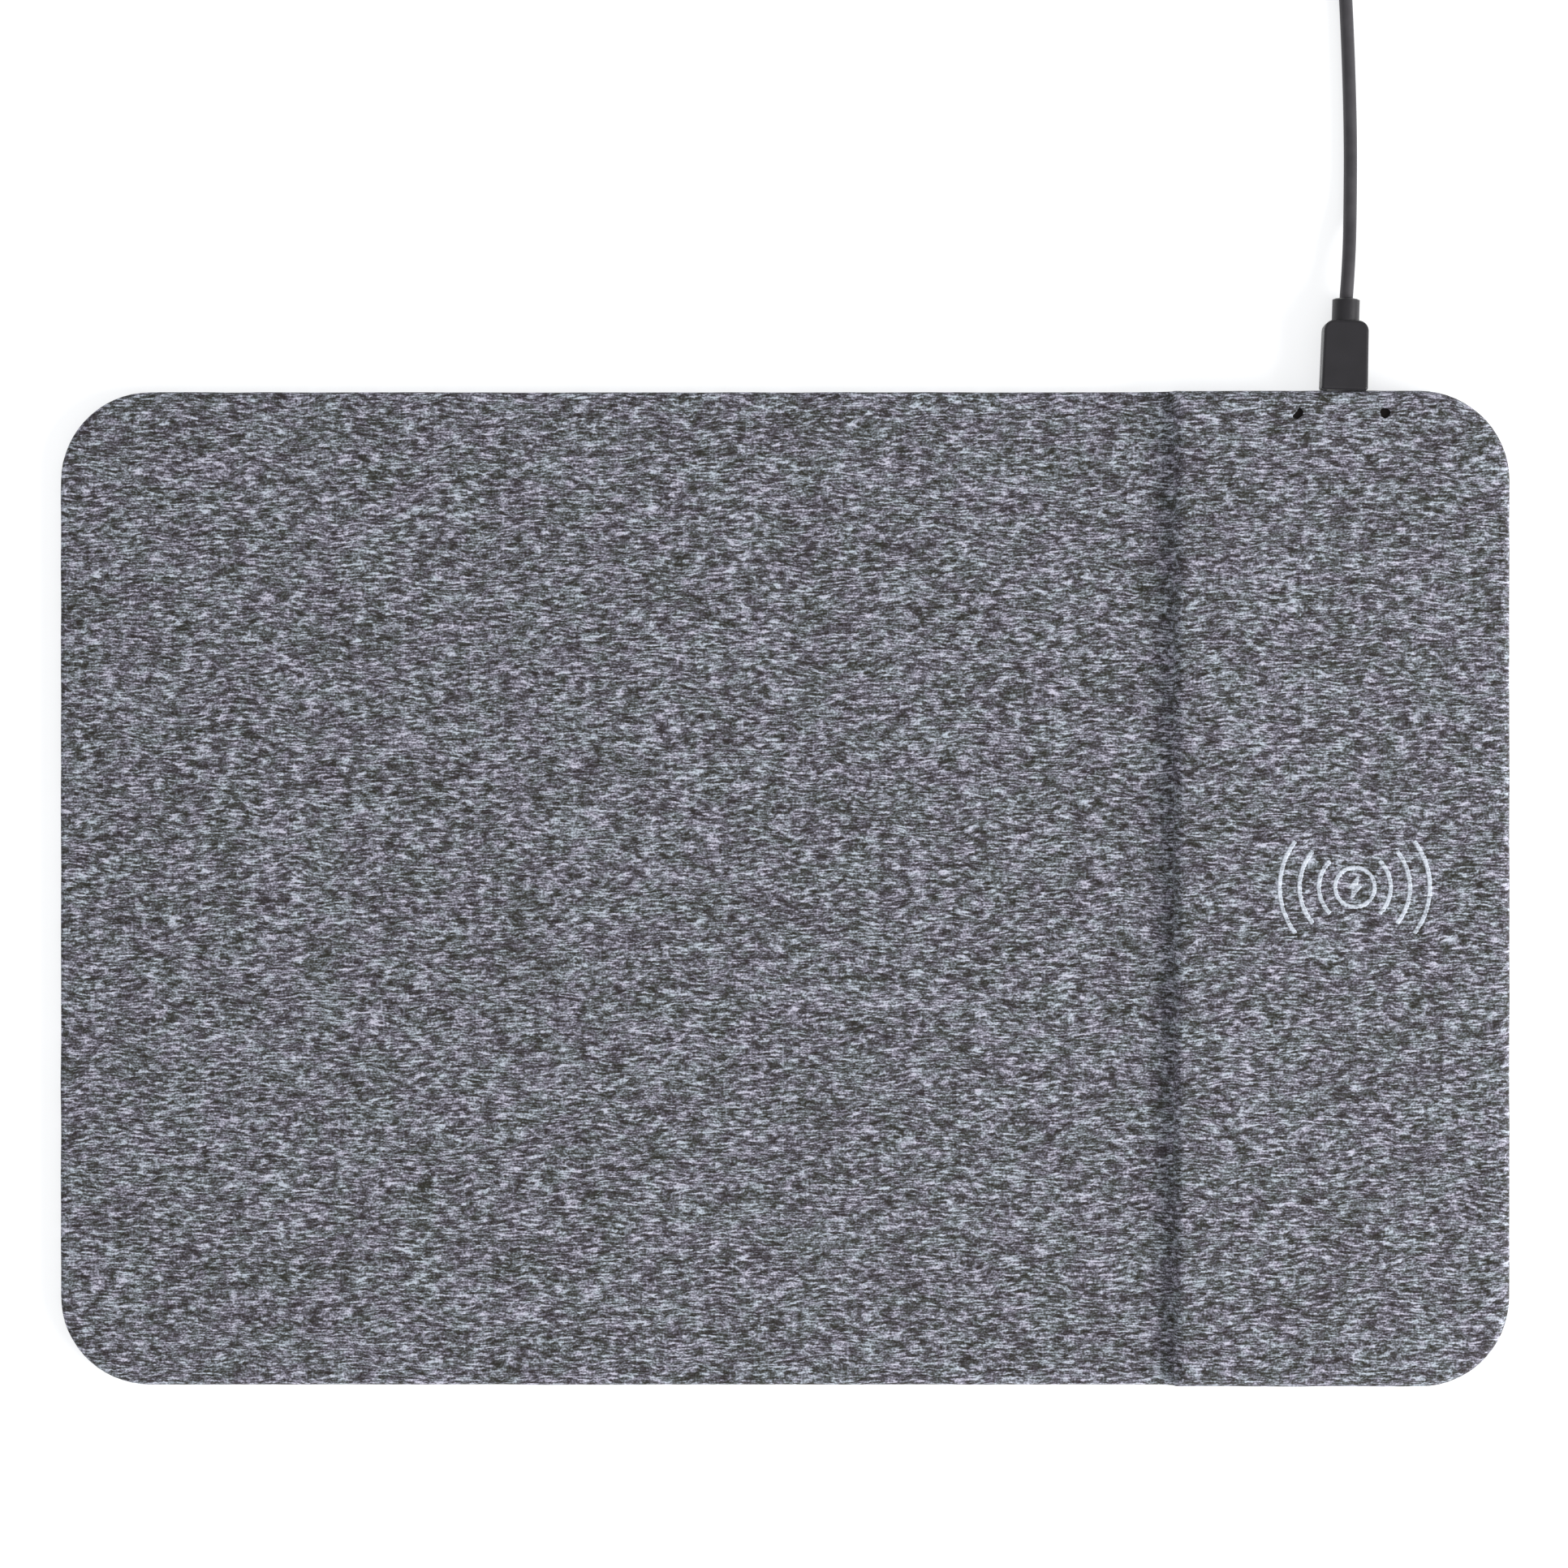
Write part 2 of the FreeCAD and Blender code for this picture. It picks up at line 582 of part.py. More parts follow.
def make_coil_leads():
    """The coil's two sleeved ends: the inner one leaves through the slot, both end on the board."""
    leads = []
    for name, route in (("inner lead", INNER_LEAD_ROUTE), ("outer lead", OUTER_LEAD_ROUTE)):
        points = [(COIL_X + x, COIL_Y + y, z) for x, y, z in route]
        leads.append(tube(points, LEAD_DIAMETER, name)[0])
    return leads


# ---------------------------------------------------------------- board and its components
def on_board(places, size):
    """Components of one size, each centred at its place on the board's upper face."""
    width, depth, height = size
    return [
        block(x - width / 2, x + width / 2, y - depth / 2, y + depth / 2, PCB_TOP, PCB_TOP + height)
        for x, y in places
    ]


def turned(size):
    """A component's size after a quarter turn on the board."""
    width, depth, height = size
    return depth, width, height


def make_main_pcb():
    board = block(PCB_LEFT, PCB_RIGHT, PCB_FRONT, PCB_BACK, PCB_BOTTOM, PCB_TOP)
    board = board.makeFillet(PCB_CORNER, upright_edges(board))
    bay = socket_bay(PCB_BOTTOM - 1, PCB_TOP + 1)
    holes = [post(place, PCB_SCREW_SHANK + 0.2, PCB_BOTTOM - 1, PCB_TOP + 1) for place in PCB_SCREWS]
    return cut_all(board, holes + [bay])


def make_pcb_screws():
    head_top = PCB_TOP + PCB_SCREW_HEAD_HEIGHT
    return [
        cross_head_screw(place, PCB_SCREW_SHANK, PCB_SCREW_HEAD, head_top, PCB_TOP, PCB_SCREW_TIP)
        for place in PCB_SCREWS
    ]


def make_controller_ic():
    return on_board([(PORT_X, CONTROLLER_Y)], CONTROLLER_SIZE)


def make_power_stage_ics():
    return on_board([(x, POWER_ROW_Y) for x in POWER_STAGE_X], POWER_STAGE_SIZE)


def make_power_inductor():
    body = on_board([INDUCTOR_PLACE], INDUCTOR_SIZE)[0]
    return body.makeFillet(INDUCTOR_CORNER, upright_edges(body))


def make_resonant_capacitors():
    return on_board([(x, POWER_ROW_Y) for x in RESONANT_X], RESONANT_SIZE)


def make_ceramic_capacitors():
    return on_board(CAPACITOR_ROW, CAPACITOR_SIZE) + on_board(CAPACITOR_COLUMN, turned(CAPACITOR_SIZE))


def make_resistors():
    beside_leds = [(x, y - LED_RESISTOR_GAP) for x, y in LED_PLACES]
    return on_board(RESISTOR_ROW, RESISTOR_SIZE) + on_board(beside_leds, turned(RESISTOR_SIZE))


def make_status_leds():
    return on_board(LED_PLACES, LED_SIZE)


# ---------------------------------------------------------------- micro socket
def contact_strips(y0, y1, z0, z1):
    strips = []
    for index in range(CONTACT_COUNT):
        x = PORT_X + (index - (CONTACT_COUNT - 1) / 2) * CONTACT_PITCH
        strips.append(block(x - CONTACT_WIDTH / 2, x + CONTACT_WIDTH / 2, y0, y1, z0, z1))
    return strips


def make_usb_socket_shell():
    shell = port_block(SOCKET_OUTER, SOCKET_BACK, SOCKET_FRONT)
    shell = shell.cut(port_block(SOCKET_INNER, SOCKET_BACK - 1, SOCKET_FRONT + 1))
    half = SOCKET_OUTER[0] / 2
    wings = []
    for side in (-1, 1):
        x0, x1 = sorted((PORT_X + side * (half - 0.1), PORT_X + side * (half + WING_REACH)))
        wings += [block(x0, x1, y, y + WING_LENGTH, PCB_TOP, PCB_TOP + WING_THICKNESS) for y in WING_Y]
    return joined([shell] + wings)


def make_usb_socket_insert():
    rear = port_block(SOCKET_INNER, SOCKET_BACK + CONTACT_THICKNESS, SOCKET_BLOCK_Y)
    left, right = PORT_X - TONGUE_HALF_WIDTH, PORT_X + TONGUE_HALF_WIDTH
    tongue = block(left, right, SOCKET_BLOCK_Y - 0.5, TONGUE_END_Y, TONGUE_LOW, TONGUE_HIGH)
    groove_top = TONGUE_LOW + CONTACT_THICKNESS
    grooves = contact_strips(SOCKET_BACK, SOCKET_CONTACT_END_Y, TONGUE_LOW - 1, groove_top)
    return cut_all(joined([rear, tongue]), grooves)


def make_usb_socket_contacts():
    """Five strips let into the tongue's underside, with their solder tails on the board."""
    bend_y = SOCKET_BACK + CONTACT_THICKNESS
    tail_top = PCB_TOP + CONTACT_THICKNESS
    strips = contact_strips(bend_y, SOCKET_CONTACT_END_Y, TONGUE_LOW, TONGUE_LOW + CONTACT_THICKNESS)
    tails = contact_strips(SOCKET_BACK - SOLDER_TAIL, bend_y, PCB_TOP, tail_top)
    risers = contact_strips(SOCKET_BACK, bend_y, TONGUE_LOW, tail_top)
    return [joined([strip, riser, tail]) for strip, riser, tail in zip(strips, risers, tails)]


# ---------------------------------------------------------------- micro plug
def make_plug_shell():
    shell = port_block(PLUG_OUTER, PLUG_TIP_Y, PLUG_SHELL_END_Y)
    return shell.cut(port_block(PLUG_INNER, PLUG_TIP_Y - 1, PLUG_SHELL_END_Y + 1))


def plug_contact_strips(z1):
    return contact_strips(PLUG_CONTACT_START_Y, PLUG_SHELF_END_Y, PLUG_CONTACT_TOP - CONTACT_THICKNESS, z1)


def make_plug_insert():
    """Fills the shell behind the face and forms a shelf along its lower half in front of it."""
    filled = port_block(PLUG_INNER, PLUG_TIP_Y + 0.2, PLUG_SHELL_END_Y)
    left, right = PORT_X - PLUG_OUTER[0], PORT_X + PLUG_OUTER[0]
    room = block(left, right, PLUG_TIP_Y - 1, PLUG_SHELF_END_Y, PLUG_CONTACT_TOP, PORT_Z + PLUG_OUTER[1])
    return cut_all(filled, [room] + plug_contact_strips(PLUG_CONTACT_TOP + 1))


def make_plug_contacts():
    return plug_contact_strips(PLUG_CONTACT_TOP)


def collar_form():
    """The collar, built along +Y: a round body whose end slopes in towards the cord."""
    radius = COLLAR_DIAMETER / 2
    axis = V(0, 1, 0)
    body = Part.makeCylinder(radius, COLLAR_END - COLLAR_START, V(0, COLLAR_START, 0), axis)
    slope = Part.makeCone(radius, COLLAR_TIP_DIAMETER / 2, COLLAR_TIP - COLLAR_END, V(0, COLLAR_END, 0), axis)
    return joined([body, slope])


def make_plug_overmold():
    height = OVERMOLD_HEIGHT / 2
    outline = [
        V(-OVERMOLD_BASE / 2, 0, -height),
        V(OVERMOLD_BASE / 2, 0, -height),
        V(OVERMOLD_END / 2, OVERMOLD_LENGTH, -height),
        V(-OVERMOLD_END / 2, OVERMOLD_LENGTH, -height),
    ]
    body = Part.Face(Part.makePolygon(outline + outline[:1])).extrude(V(0, 0, OVERMOLD_HEIGHT))
    body = body.makeFillet(SHOULDER_RADIUS, upright_edges(body, lambda x, y: y > OVERMOLD_LENGTH - 1))
    body = body.makeFillet(FACE_CORNER, upright_edges(body, lambda x, y: y < 1))
    flat_edges = [e for e in body.Edges if is_flat_at(e, height) or is_flat_at(e, -height)]
    body = body.makeFillet(OVERMOLD_EDGE_ROUND, flat_edges)
    body = plug_place(body.cut(collar_form()))
    return body.cut(port_block(PLUG_OUTER, PLUG_TIP_Y, PLUG_SHELL_END_Y))


def make_plug_collar():
    return plug_place(collar_form())


# ---------------------------------------------------------------- cord
def cord_coil_solid():
    """The put-away coil's outer form: a ring with a soft-cornered section, resting on its tie."""
    half_band = CORD_COLUMNS * CORD_DIAMETER / 2
    height = CORD_LAYERS * CORD_DIAMETER
    bottom = V(COIL_CENTRE.x, COIL_CENTRE.y, TIE_THICKNESS)
    ring = Part.makeCylinder(CORD_COIL_MID + half_band, height, bottom)
    ring = ring.cut(Part.makeCylinder(CORD_COIL_MID - half_band, height, bottom))
    return ring.makeFillet(CORD_COIL_CORNER, [edge for edge in ring.Edges if edge.BoundBox.ZLength < 1e-4])


def make_cord_tie():
    """A flat tie round the coil's turns, with its two ends twisted together on top."""
    half_band = CORD_COLUMNS * CORD_DIAMETER / 2 + TIE_THICKNESS
    middle = COIL_CENTRE.x - CORD_COIL_MID
    top = CORD_LAYERS * CORD_DIAMETER + 2 * TIE_THICKNESS
    front, back = COIL_CENTRE.y - TIE_HALF_WIDTH, COIL_CENTRE.y + TIE_HALF_WIDTH
    band = block(middle - half_band, middle + half_band, front, back, 0.0, top)
    band = band.makeFillet(TIE_CORNER, edges_along(band, "Y"))
    twist_foot = V(middle, COIL_CENTRE.y + TWIST_START, top + TWIST_LIFT)
    twist = Part.makeCylinder(TWIST_DIAMETER / 2, TWIST_LENGTH, twist_foot, TWIST_DIRECTION)
    return joined([band, twist]).cut(cord_coil_solid())


def make_cord():
    """The two loose stretches and the coil between them; prints the lead's whole length."""
    lead_in, lead_in_length = tube(LEAD_IN_ROUTE, CORD_DIAMETER, "cord_tube")
    tail, tail_length = tube(TAIL_ROUTE, CORD_DIAMETER, "cord_tail")
    wound = CORD_COIL_TURNS * 2 * math.pi * CORD_COIL_MID
    print(f"cord: {lead_in_length + wound + tail_length:.0f} mm in all, {wound:.0f} of it wound")
    return {"cord_tube": lead_in, "cord_tail": tail, "cord_coil": cord_coil_solid()}


# ---------------------------------------------------------------- far plug
def usb_a_block(x0, x1, section):
    """A block along X behind the far plug's axis point."""
    half_width, half_height = section[0] / 2, section[1] / 2
    left, right = USB_A_AXIS.x - x1, USB_A_AXIS.x - x0
    y, z = USB_A_AXIS.y, USB_A_AXIS.z
    return block(left, right, y - half_width, y + half_width, z - half_height, z + half_height)


def make_usb_a_strain_relief():
    """A tapered sleeve with ring grooves, fatter towards the plug."""
    axis = V(-1, 0, 0)
    sleeve = Part.makeCone(RELIEF_THIN, RELIEF_FAT, USB_A_RELIEF + 1.0, USB_A_AXIS, axis)
    grooves = []
    for index in range(RELIEF_GROOVES):
        place = USB_A_AXIS + axis * (RELIEF_GROOVE_START + RELIEF_GROOVE_PITCH * index)
        core = RELIEF_CORE + RELIEF_CORE_GROWTH * index
        ring = Part.makeCylinder(RELIEF_FAT + 1, RELIEF_GROOVE_WIDTH, place, axis)
        grooves.append(ring.cut(Part.makeCylinder(core, RELIEF_GROOVE_WIDTH, place, axis)))
    return cut_all(sleeve, grooves)


def make_usb_a_overmold():
    body = usb_a_block(USB_A_RELIEF, USB_A_FACE, USB_A_BODY_SECTION)
    body = body.makeFillet(USB_A_BODY_ROUND, edges_along(body, "X"))
    back_x = USB_A_AXIS.x - USB_A_RELIEF
    back_edges = [e for e in body.Edges if abs(e.BoundBox.XMin - back_x) < 1e-4 and e.BoundBox.XLength < 1e-4]
    body = body.makeFillet(USB_A_BACK_ROUND, back_edges)
    shell_room = usb_a_block(USB_A_SHELL_BACK, USB_A_TIP, USB_A_SHELL_SECTION)
    return cut_all(body, [shell_room, make_usb_a_strain_relief()])


def make_usb_a_shell():
    shell = usb_a_block(USB_A_SHELL_BACK, USB_A_TIP, USB_A_SHELL_SECTION)
    hollow = usb_a_block(USB_A_SHELL_BACK - 1, USB_A_TIP + 1, USB_A_SHELL_INSIDE)
    x = USB_A_AXIS.x - USB_A_TIP + USB_A_WINDOW_DEPTH
    half = USB_A_WINDOW_SIDE / 2
    top = USB_A_AXIS.z + USB_A_BODY_SECTION[1]
    windows = []
    for y in (USB_A_AXIS.y - USB_A_WINDOW_Y, USB_A_AXIS.y + USB_A_WINDOW_Y):
        windows.append(block(x, x + USB_A_WINDOW_SIDE, y - half, y + half, 0, top))
    return cut_all(shell, [hollow] + windows)


def usb_a_contact_strips(z1):
    x0 = USB_A_AXIS.x - USB_A_TIP + USB_A_CONTACT_INSET
    z0 = USB_A_SHELF_TOP - USB_A_CONTACT_THICKNESS
    half = USB_A_CONTACT_WIDTH / 2
    strips = []
    for y in (USB_A_AXIS.y + offset for offset in USB_A_CONTACTS_Y):
        strips.append(block(x0, x0 + USB_A_CONTACT_LENGTH, y - half, y + half, z0, z1))
    return strips


def make_usb_a_insert():
    filled = usb_a_block(USB_A_SHELL_BACK, USB_A_TIP - 0.3, USB_A_SHELL_INSIDE)
    face_x = USB_A_AXIS.x - USB_A_FACE
    half_width = USB_A_SHELL_SECTION[0] / 2
    top = USB_A_AXIS.z + USB_A_SHELL_SECTION[1]
    front, back = USB_A_AXIS.y - half_width, USB_A_AXIS.y + half_width
    room = block(face_x - USB_A_SHELL, face_x, front, back, USB_A_SHELF_TOP, top)
    return cut_all(filled, [room] + usb_a_contact_strips(top))


def make_usb_a_contacts():
    return usb_a_contact_strips(USB_A_SHELF_TOP)


# ---------------------------------------------------------------- output
MAKERS = {
    "fabric_cover": make_fabric_cover,
    "charge_symbol_print": symbol_solids,
    "base_sheet": make_base_sheet,
    "adhesive_sheet": make_adhesive_sheet,
    "base_board": make_base_board,
    "foam_mat": make_foam_mat,
    "module_tray": make_module_tray,
    "module_lid": make_module_lid,
    "module_screws": make_module_screws,
    "light_pipes": make_light_pipes,
    "ferrite_plate": make_ferrite_plate,
    "coil_tape": make_coil_tape,
    "transmit_coil": make_transmit_coil,
    "coil_leads": make_coil_leads,
    "main_pcb": make_main_pcb,
    "pcb_screws": make_pcb_screws,
    "controller_ic": make_controller_ic,
    "power_stage_ics": make_power_stage_ics,
    "power_inductor": make_power_inductor,
    "resonant_capacitors": make_resonant_capacitors,
    "ceramic_capacitors": make_ceramic_capacitors,
    "resistors": make_resistors,
    "status_leds": make_status_leds,
    "usb_socket_shell": make_usb_socket_shell,
    "usb_socket_insert": make_usb_socket_insert,
    "usb_socket_contacts": make_usb_socket_contacts,
    "plug_shell": make_plug_shell,
    "plug_insert": make_plug_insert,
    "plug_contacts": make_plug_contacts,
    "plug_overmold": make_plug_overmold,
    "plug_collar": make_plug_collar,
    "cord_tie": make_cord_tie,
    "usb_a_strain_relief": make_usb_a_strain_relief,
    "usb_a_overmold": make_usb_a_overmold,
    "usb_a_shell": make_usb_a_shell,
    "usb_a_insert": make_usb_a_insert,
    "usb_a_contacts": make_usb_a_contacts,
}


def write_node(name, shape):
    """Writes one node, as one solid or as a compound of separate solids."""
    solids = []
    for item in shape if isinstance(shape, list) else [shape]:
        solids += item.Solids
    whole = solids[0] if len(solids) == 1 else Part.makeCompound(solids)
    valid = all(solid.isValid() and solid.Volume > 0 for solid in solids)
    print(f"{name}: {len(solids)} solid(s), volume {whole.Volume:.1f}, valid {valid}")
    whole.exportStep(os.path.join("parts", name + ".step"))


os.makedirs("parts", exist_ok=True)
for node_name, maker in MAKERS.items():
    write_node(node_name, maker())
for node_name, node_shape in make_cord().items():
    write_node(node_name, node_shape)
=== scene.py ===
"""Looks of the cloth-covered mouse pad with a raised wireless charging module and its USB lead.

Metres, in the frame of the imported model. Sizes written as n * MM are millimetres.
"""

import math

import bmesh
import bpy
import numpy as np
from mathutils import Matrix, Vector, noise


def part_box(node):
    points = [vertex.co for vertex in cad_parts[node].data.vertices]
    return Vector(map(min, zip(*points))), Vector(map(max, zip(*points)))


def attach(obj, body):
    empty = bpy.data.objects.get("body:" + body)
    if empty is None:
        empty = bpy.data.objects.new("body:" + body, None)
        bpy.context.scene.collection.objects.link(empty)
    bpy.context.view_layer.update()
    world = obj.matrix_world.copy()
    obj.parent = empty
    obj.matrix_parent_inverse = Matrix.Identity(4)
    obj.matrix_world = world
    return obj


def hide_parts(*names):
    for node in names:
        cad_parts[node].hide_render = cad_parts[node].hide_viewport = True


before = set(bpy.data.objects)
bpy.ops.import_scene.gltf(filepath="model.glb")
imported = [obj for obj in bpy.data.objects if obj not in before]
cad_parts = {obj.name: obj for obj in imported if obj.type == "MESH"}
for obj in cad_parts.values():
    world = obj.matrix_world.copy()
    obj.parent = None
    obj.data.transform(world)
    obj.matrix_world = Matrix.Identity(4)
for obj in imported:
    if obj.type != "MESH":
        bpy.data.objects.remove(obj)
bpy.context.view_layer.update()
MM = 0.001

# ---- Camera ----
SENSOR_WIDTH = 36.0
LENS = 122.16
CAMERA_PLACE = (0.0, 21.65 * MM, 1105.5 * MM)

# ---- Pad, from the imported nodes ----
CLOTH_LO, CLOTH_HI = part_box("fabric_cover")
HALF_WIDTH = CLOTH_HI.x
HALF_DEPTH = CLOTH_HI.y
MODULE_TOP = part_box("charge_symbol_print")[1].z
HEM_BOTTOM = CLOTH_LO.z
CLOTH = 0.4 * MM
MAT_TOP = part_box("foam_mat")[1].z + CLOTH
CORNER_RADIUS = 18.6 * MM
STEP_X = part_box("module_tray")[0].x - CLOTH - 0.1 * MM
STEP_CORNER = 2.3 * MM
STEP_FOOT = 0.45 * MM
BRIDGE_REACH = 10.0 * MM
BRIDGE_RISE = 0.55 * MM
WALL_STEEPNESS = 1.8
STEP_WAVER = 0.16 * MM
STEP_WAVER_REACH = 6.0 * MM
CLIMB_SHARE = 0.66
GRID_STEP = 2.3 * MM
MAT_EDGE_ROUND = 1.0 * MM
MODULE_EDGE_ROUND = 2.0 * MM
BOTTOM_ROUND = 0.55 * MM

# ---- Openings in the cloth ----
LED_LO, LED_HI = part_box("status_leds")
LED_Y = (LED_LO.y + LED_HI.y) / 2
LED_X = (LED_LO.x + 0.8 * MM, LED_HI.x - 0.8 * MM)
SOCKET_LO, SOCKET_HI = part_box("usb_socket_shell")
PORT_X = (SOCKET_LO.x + SOCKET_HI.x) / 2
LED_HOLE_RADIUS = 1.05 * MM
HOLE_BLOCK = 2.0 * MM
HOLE_CELLS = 8
HOLE_PUCKER = 0.05 * MM
FLAP_EDGE = 0.42 * MM
FLAP_DIRECTION = math.radians(140.7)
HOLE_BULGES = ((72.0, 0.22 * MM, 10), (232.0, 0.40 * MM, 6))
WINDOW_HALF = 4.15 * MM
WINDOW_BOTTOM = 2.35 * MM

# ---- Lead ----
CORD_DIAMETER = 2.8 * MM
LEAD_IN_ROUTE = [
    (116.40, 122.09, 3.8),
    (117.05, 130.57, 3.7),
    (117.49, 142.06, 1.4),
    (117.56, 155.56, 1.4),
    (117.20, 170.06, 1.4),
    (116.60, 184.00, 1.4),
    (115.90, 195.50, 1.6),
    (115.45, 205.50, 2.0),
]
TAIL_ROUTE = [
    (86.0, 234.5, 4.8),
    (77.6, 234.2, 2.4),
    (68.0, 232.6, 1.5),
    (58.6, 231.2, 3.7),
    (50.0, 231.0, 4.0),
]
COIL_CENTRE = (93.0, 212.0)
COIL_OUTER_TURN = 22.4
COIL_INNER_TURN = 11.2
COIL_LAYER_Z = (2.0, 4.8)
COIL_TURNS = 10.25
POINTS_PER_TURN = 14
TIE_GAP = 0.28 * MM
TIE_SINK = 0.26 * MM
TWIST_LENGTH = 12.6 * MM
TWIST_TURNS = 3.6
TWIST_POINTS = 60
TWIST_RADIUS = 0.42 * MM
WIRE_RADIUS = 0.40 * MM
TUBE_SIDES = 10


# ---------------------------------------------------------------- camera, floor and light
def aim(thing, place, target):
    thing.location = place
    thing.rotation_euler = (Vector(target) - Vector(place)).to_track_quat("-Z", "Y").to_euler()
    bpy.context.scene.collection.objects.link(thing)
    return thing


def make_camera():
    """Straight above, 1.1 m over the cloth, with the lead's side of the table in the frame."""
    data = bpy.data.cameras.new("camera")
    data.sensor_width = SENSOR_WIDTH
    data.lens = LENS
    data.clip_start = 0.05
    data.clip_end = 20.0
    camera = bpy.data.objects.new("camera", data)
    camera.location = CAMERA_PLACE
    bpy.context.scene.collection.objects.link(camera)
    bpy.context.scene.camera = camera


def area_light(name, place, width, depth, power, colour):
    data = bpy.data.lights.new(name, "AREA")
    data.shape = "RECTANGLE"
    data.size = width
    data.size_y = depth
    data.energy = power
    data.color = colour
    return aim(bpy.data.objects.new(name, data), place, (0.0, 0.0, 0.0))


def make_light():
    """A pale room, a large soft light above and a soft key from the front right."""
    world = bpy.data.worlds.new("studio")
    bpy.context.scene.world = world
    world.use_nodes = True
    background = world.node_tree.nodes["Background"]
    background.inputs["Color"].default_value = (0.97, 0.98, 1.0, 1.0)
    background.inputs["Strength"].default_value = 0.54
    area_light("overhead", (0.1, -0.1, 1.9), 1.6, 1.6, 1.5, (1.0, 1.0, 1.0))
    area_light("key_front_right", (1.4, -0.6, 0.8), 1.2, 0.5, 26.5, (1.0, 1.0, 1.0))
    view = bpy.context.scene.view_settings
    view.view_transform = "Standard"
    view.look = "None"


# ---------------------------------------------------------------- node materials
class Look:
    """A node material while it is put together. Plain numbers go straight on the shader's sockets."""

    def __init__(self, name, **numbers):
        self.material = bpy.data.materials.new(name)
        self.material.use_nodes = True
        self.nodes = self.material.node_tree.nodes
        self.links = self.material.node_tree.links
        self.shader = self.nodes["Principled BSDF"]
        for socket, value in numbers.items():
            self.shader.inputs[socket.replace("_", " ")].default_value = value

    def node(self, kind, **settings):
        made = self.nodes.new("ShaderNode" + kind)
        for setting, value in settings.items():
            setattr(made, setting, value)
        return made

    def put(self, socket, value):
        """A link for a socket, a plain value for anything else."""
        if isinstance(value, bpy.types.NodeSocket):
            self.links.new(value, socket)
        else:
            socket.default_value = value

    def maths(self, operation, first, second=0.0, third=0.0):
        made = self.node("Math", operation=operation)
        for socket, value in zip(made.inputs, (first, second, third)):
            self.put(socket, value)
        return made.outputs[0]

    def total(self, *terms):
        """The sum of weight * value over the pairs given."""
        result = 0.0
        for weight, value in terms:
            result = self.maths("MULTIPLY_ADD", value, weight, result)
        return result

    def place(self, attribute=None):
        if attribute:
            return self.node("Attribute", attribute_name=attribute).outputs["Vector"]
        return self.node("TexCoord").outputs["Object"]

    def stretch(self, vector, size):
        """The vector measured in steps of size, in metres, along each axis."""
        made = self.node("VectorMath", operation="MULTIPLY")
        self.put(made.inputs[0], vector)
        made.inputs[1].default_value = tuple(1.0 / s for s in size)
        return made.outputs[0]

    def noise(self, vector, size, detail=2.0, rough=0.5, shift=0.0):
        made = self.node("TexNoise", noise_dimensions="4D" if shift else "3D")
        self.put(made.inputs["Vector"], self.stretch(vector, size))
        if shift:
            made.inputs["W"].default_value = shift
        made.inputs["Scale"].default_value = 1.0
        made.inputs["Detail"].default_value = detail
        made.inputs["Roughness"].default_value = rough
        return made.outputs["Fac"]

    def cells(self, vector, size, output="Distance"):
        made = self.node("TexVoronoi")
        self.put(made.inputs["Vector"], self.stretch(vector, size))
        made.inputs["Scale"].default_value = 1.0
        return made.outputs[output]

    def span(self, value, low, high, to_low=0.0, to_high=1.0, smooth=False):
        made = self.node("MapRange", clamp=True)
        if smooth:
            made.interpolation_type = "SMOOTHSTEP"
        for socket, number in zip(made.inputs, (value, low, high, to_low, to_high)):
            self.put(socket, number)
        return made.outputs["Result"]

    def ramp(self, value, stops):
        made = self.node("ValToRGB")
        elements = made.color_ramp.elements
        while len(elements) < len(stops):
            elements.new(0.5)
        for element, (at, colour) in zip(elements, stops):
            element.position = at
            element.color = (*colour, 1.0)
        self.put(made.inputs["Fac"], value)
        return made.outputs["Color"]

    def mix(self, share, first, second):
        made = self.node("Mix", data_type="RGBA")
        self.put(made.inputs[0], share)
        for socket, value in ((made.inputs[6], first), (made.inputs[7], second)):
            self.put(socket, (*value, 1.0) if isinstance(value, tuple) else value)
        return made.outputs[2]

    def colour(self, value):
        self.put(self.shader.inputs["Base Color"], value)

    def rough(self, value):
        self.put(self.shader.inputs["Roughness"], value)

    def bump(self, height, depth):
        """Raises the surface by height * depth, in metres."""
        made = self.node("Bump")
        made.inputs["Strength"].default_value = 1.0
        made.inputs["Distance"].default_value = depth
        self.put(made.inputs["Height"], height)
        self.put(self.shader.inputs["Normal"], made.outputs["Normal"])


def darker(colour, share):
    return tuple(c * share for c in colour)


def moulded(name, colour, rough=0.5, grain=0.12 * MM, depth=0.02 * MM, cloud=6.0 * MM, **numbers):
    """Moulded plastic: spark-eroded grain, and a little cloudiness in its colour and gloss."""
    look = Look(name, **numbers)
    at = look.place()
    patches = look.noise(at, (cloud,) * 3, detail=3.0)
    specks = look.noise(at, (grain * 2,) * 3, detail=1.0)
    tone = look.total((0.7, patches), (0.3, specks))
    look.colour(look.ramp(tone, [(0.3, darker(colour, 0.8)), (0.7, darker(colour, 1.22))]))
    look.rough(look.span(tone, 0.3, 0.7, rough - 0.07, rough + 0.07))
    look.bump(look.noise(at, (grain,) * 3, detail=2.0), depth)
    return look.material


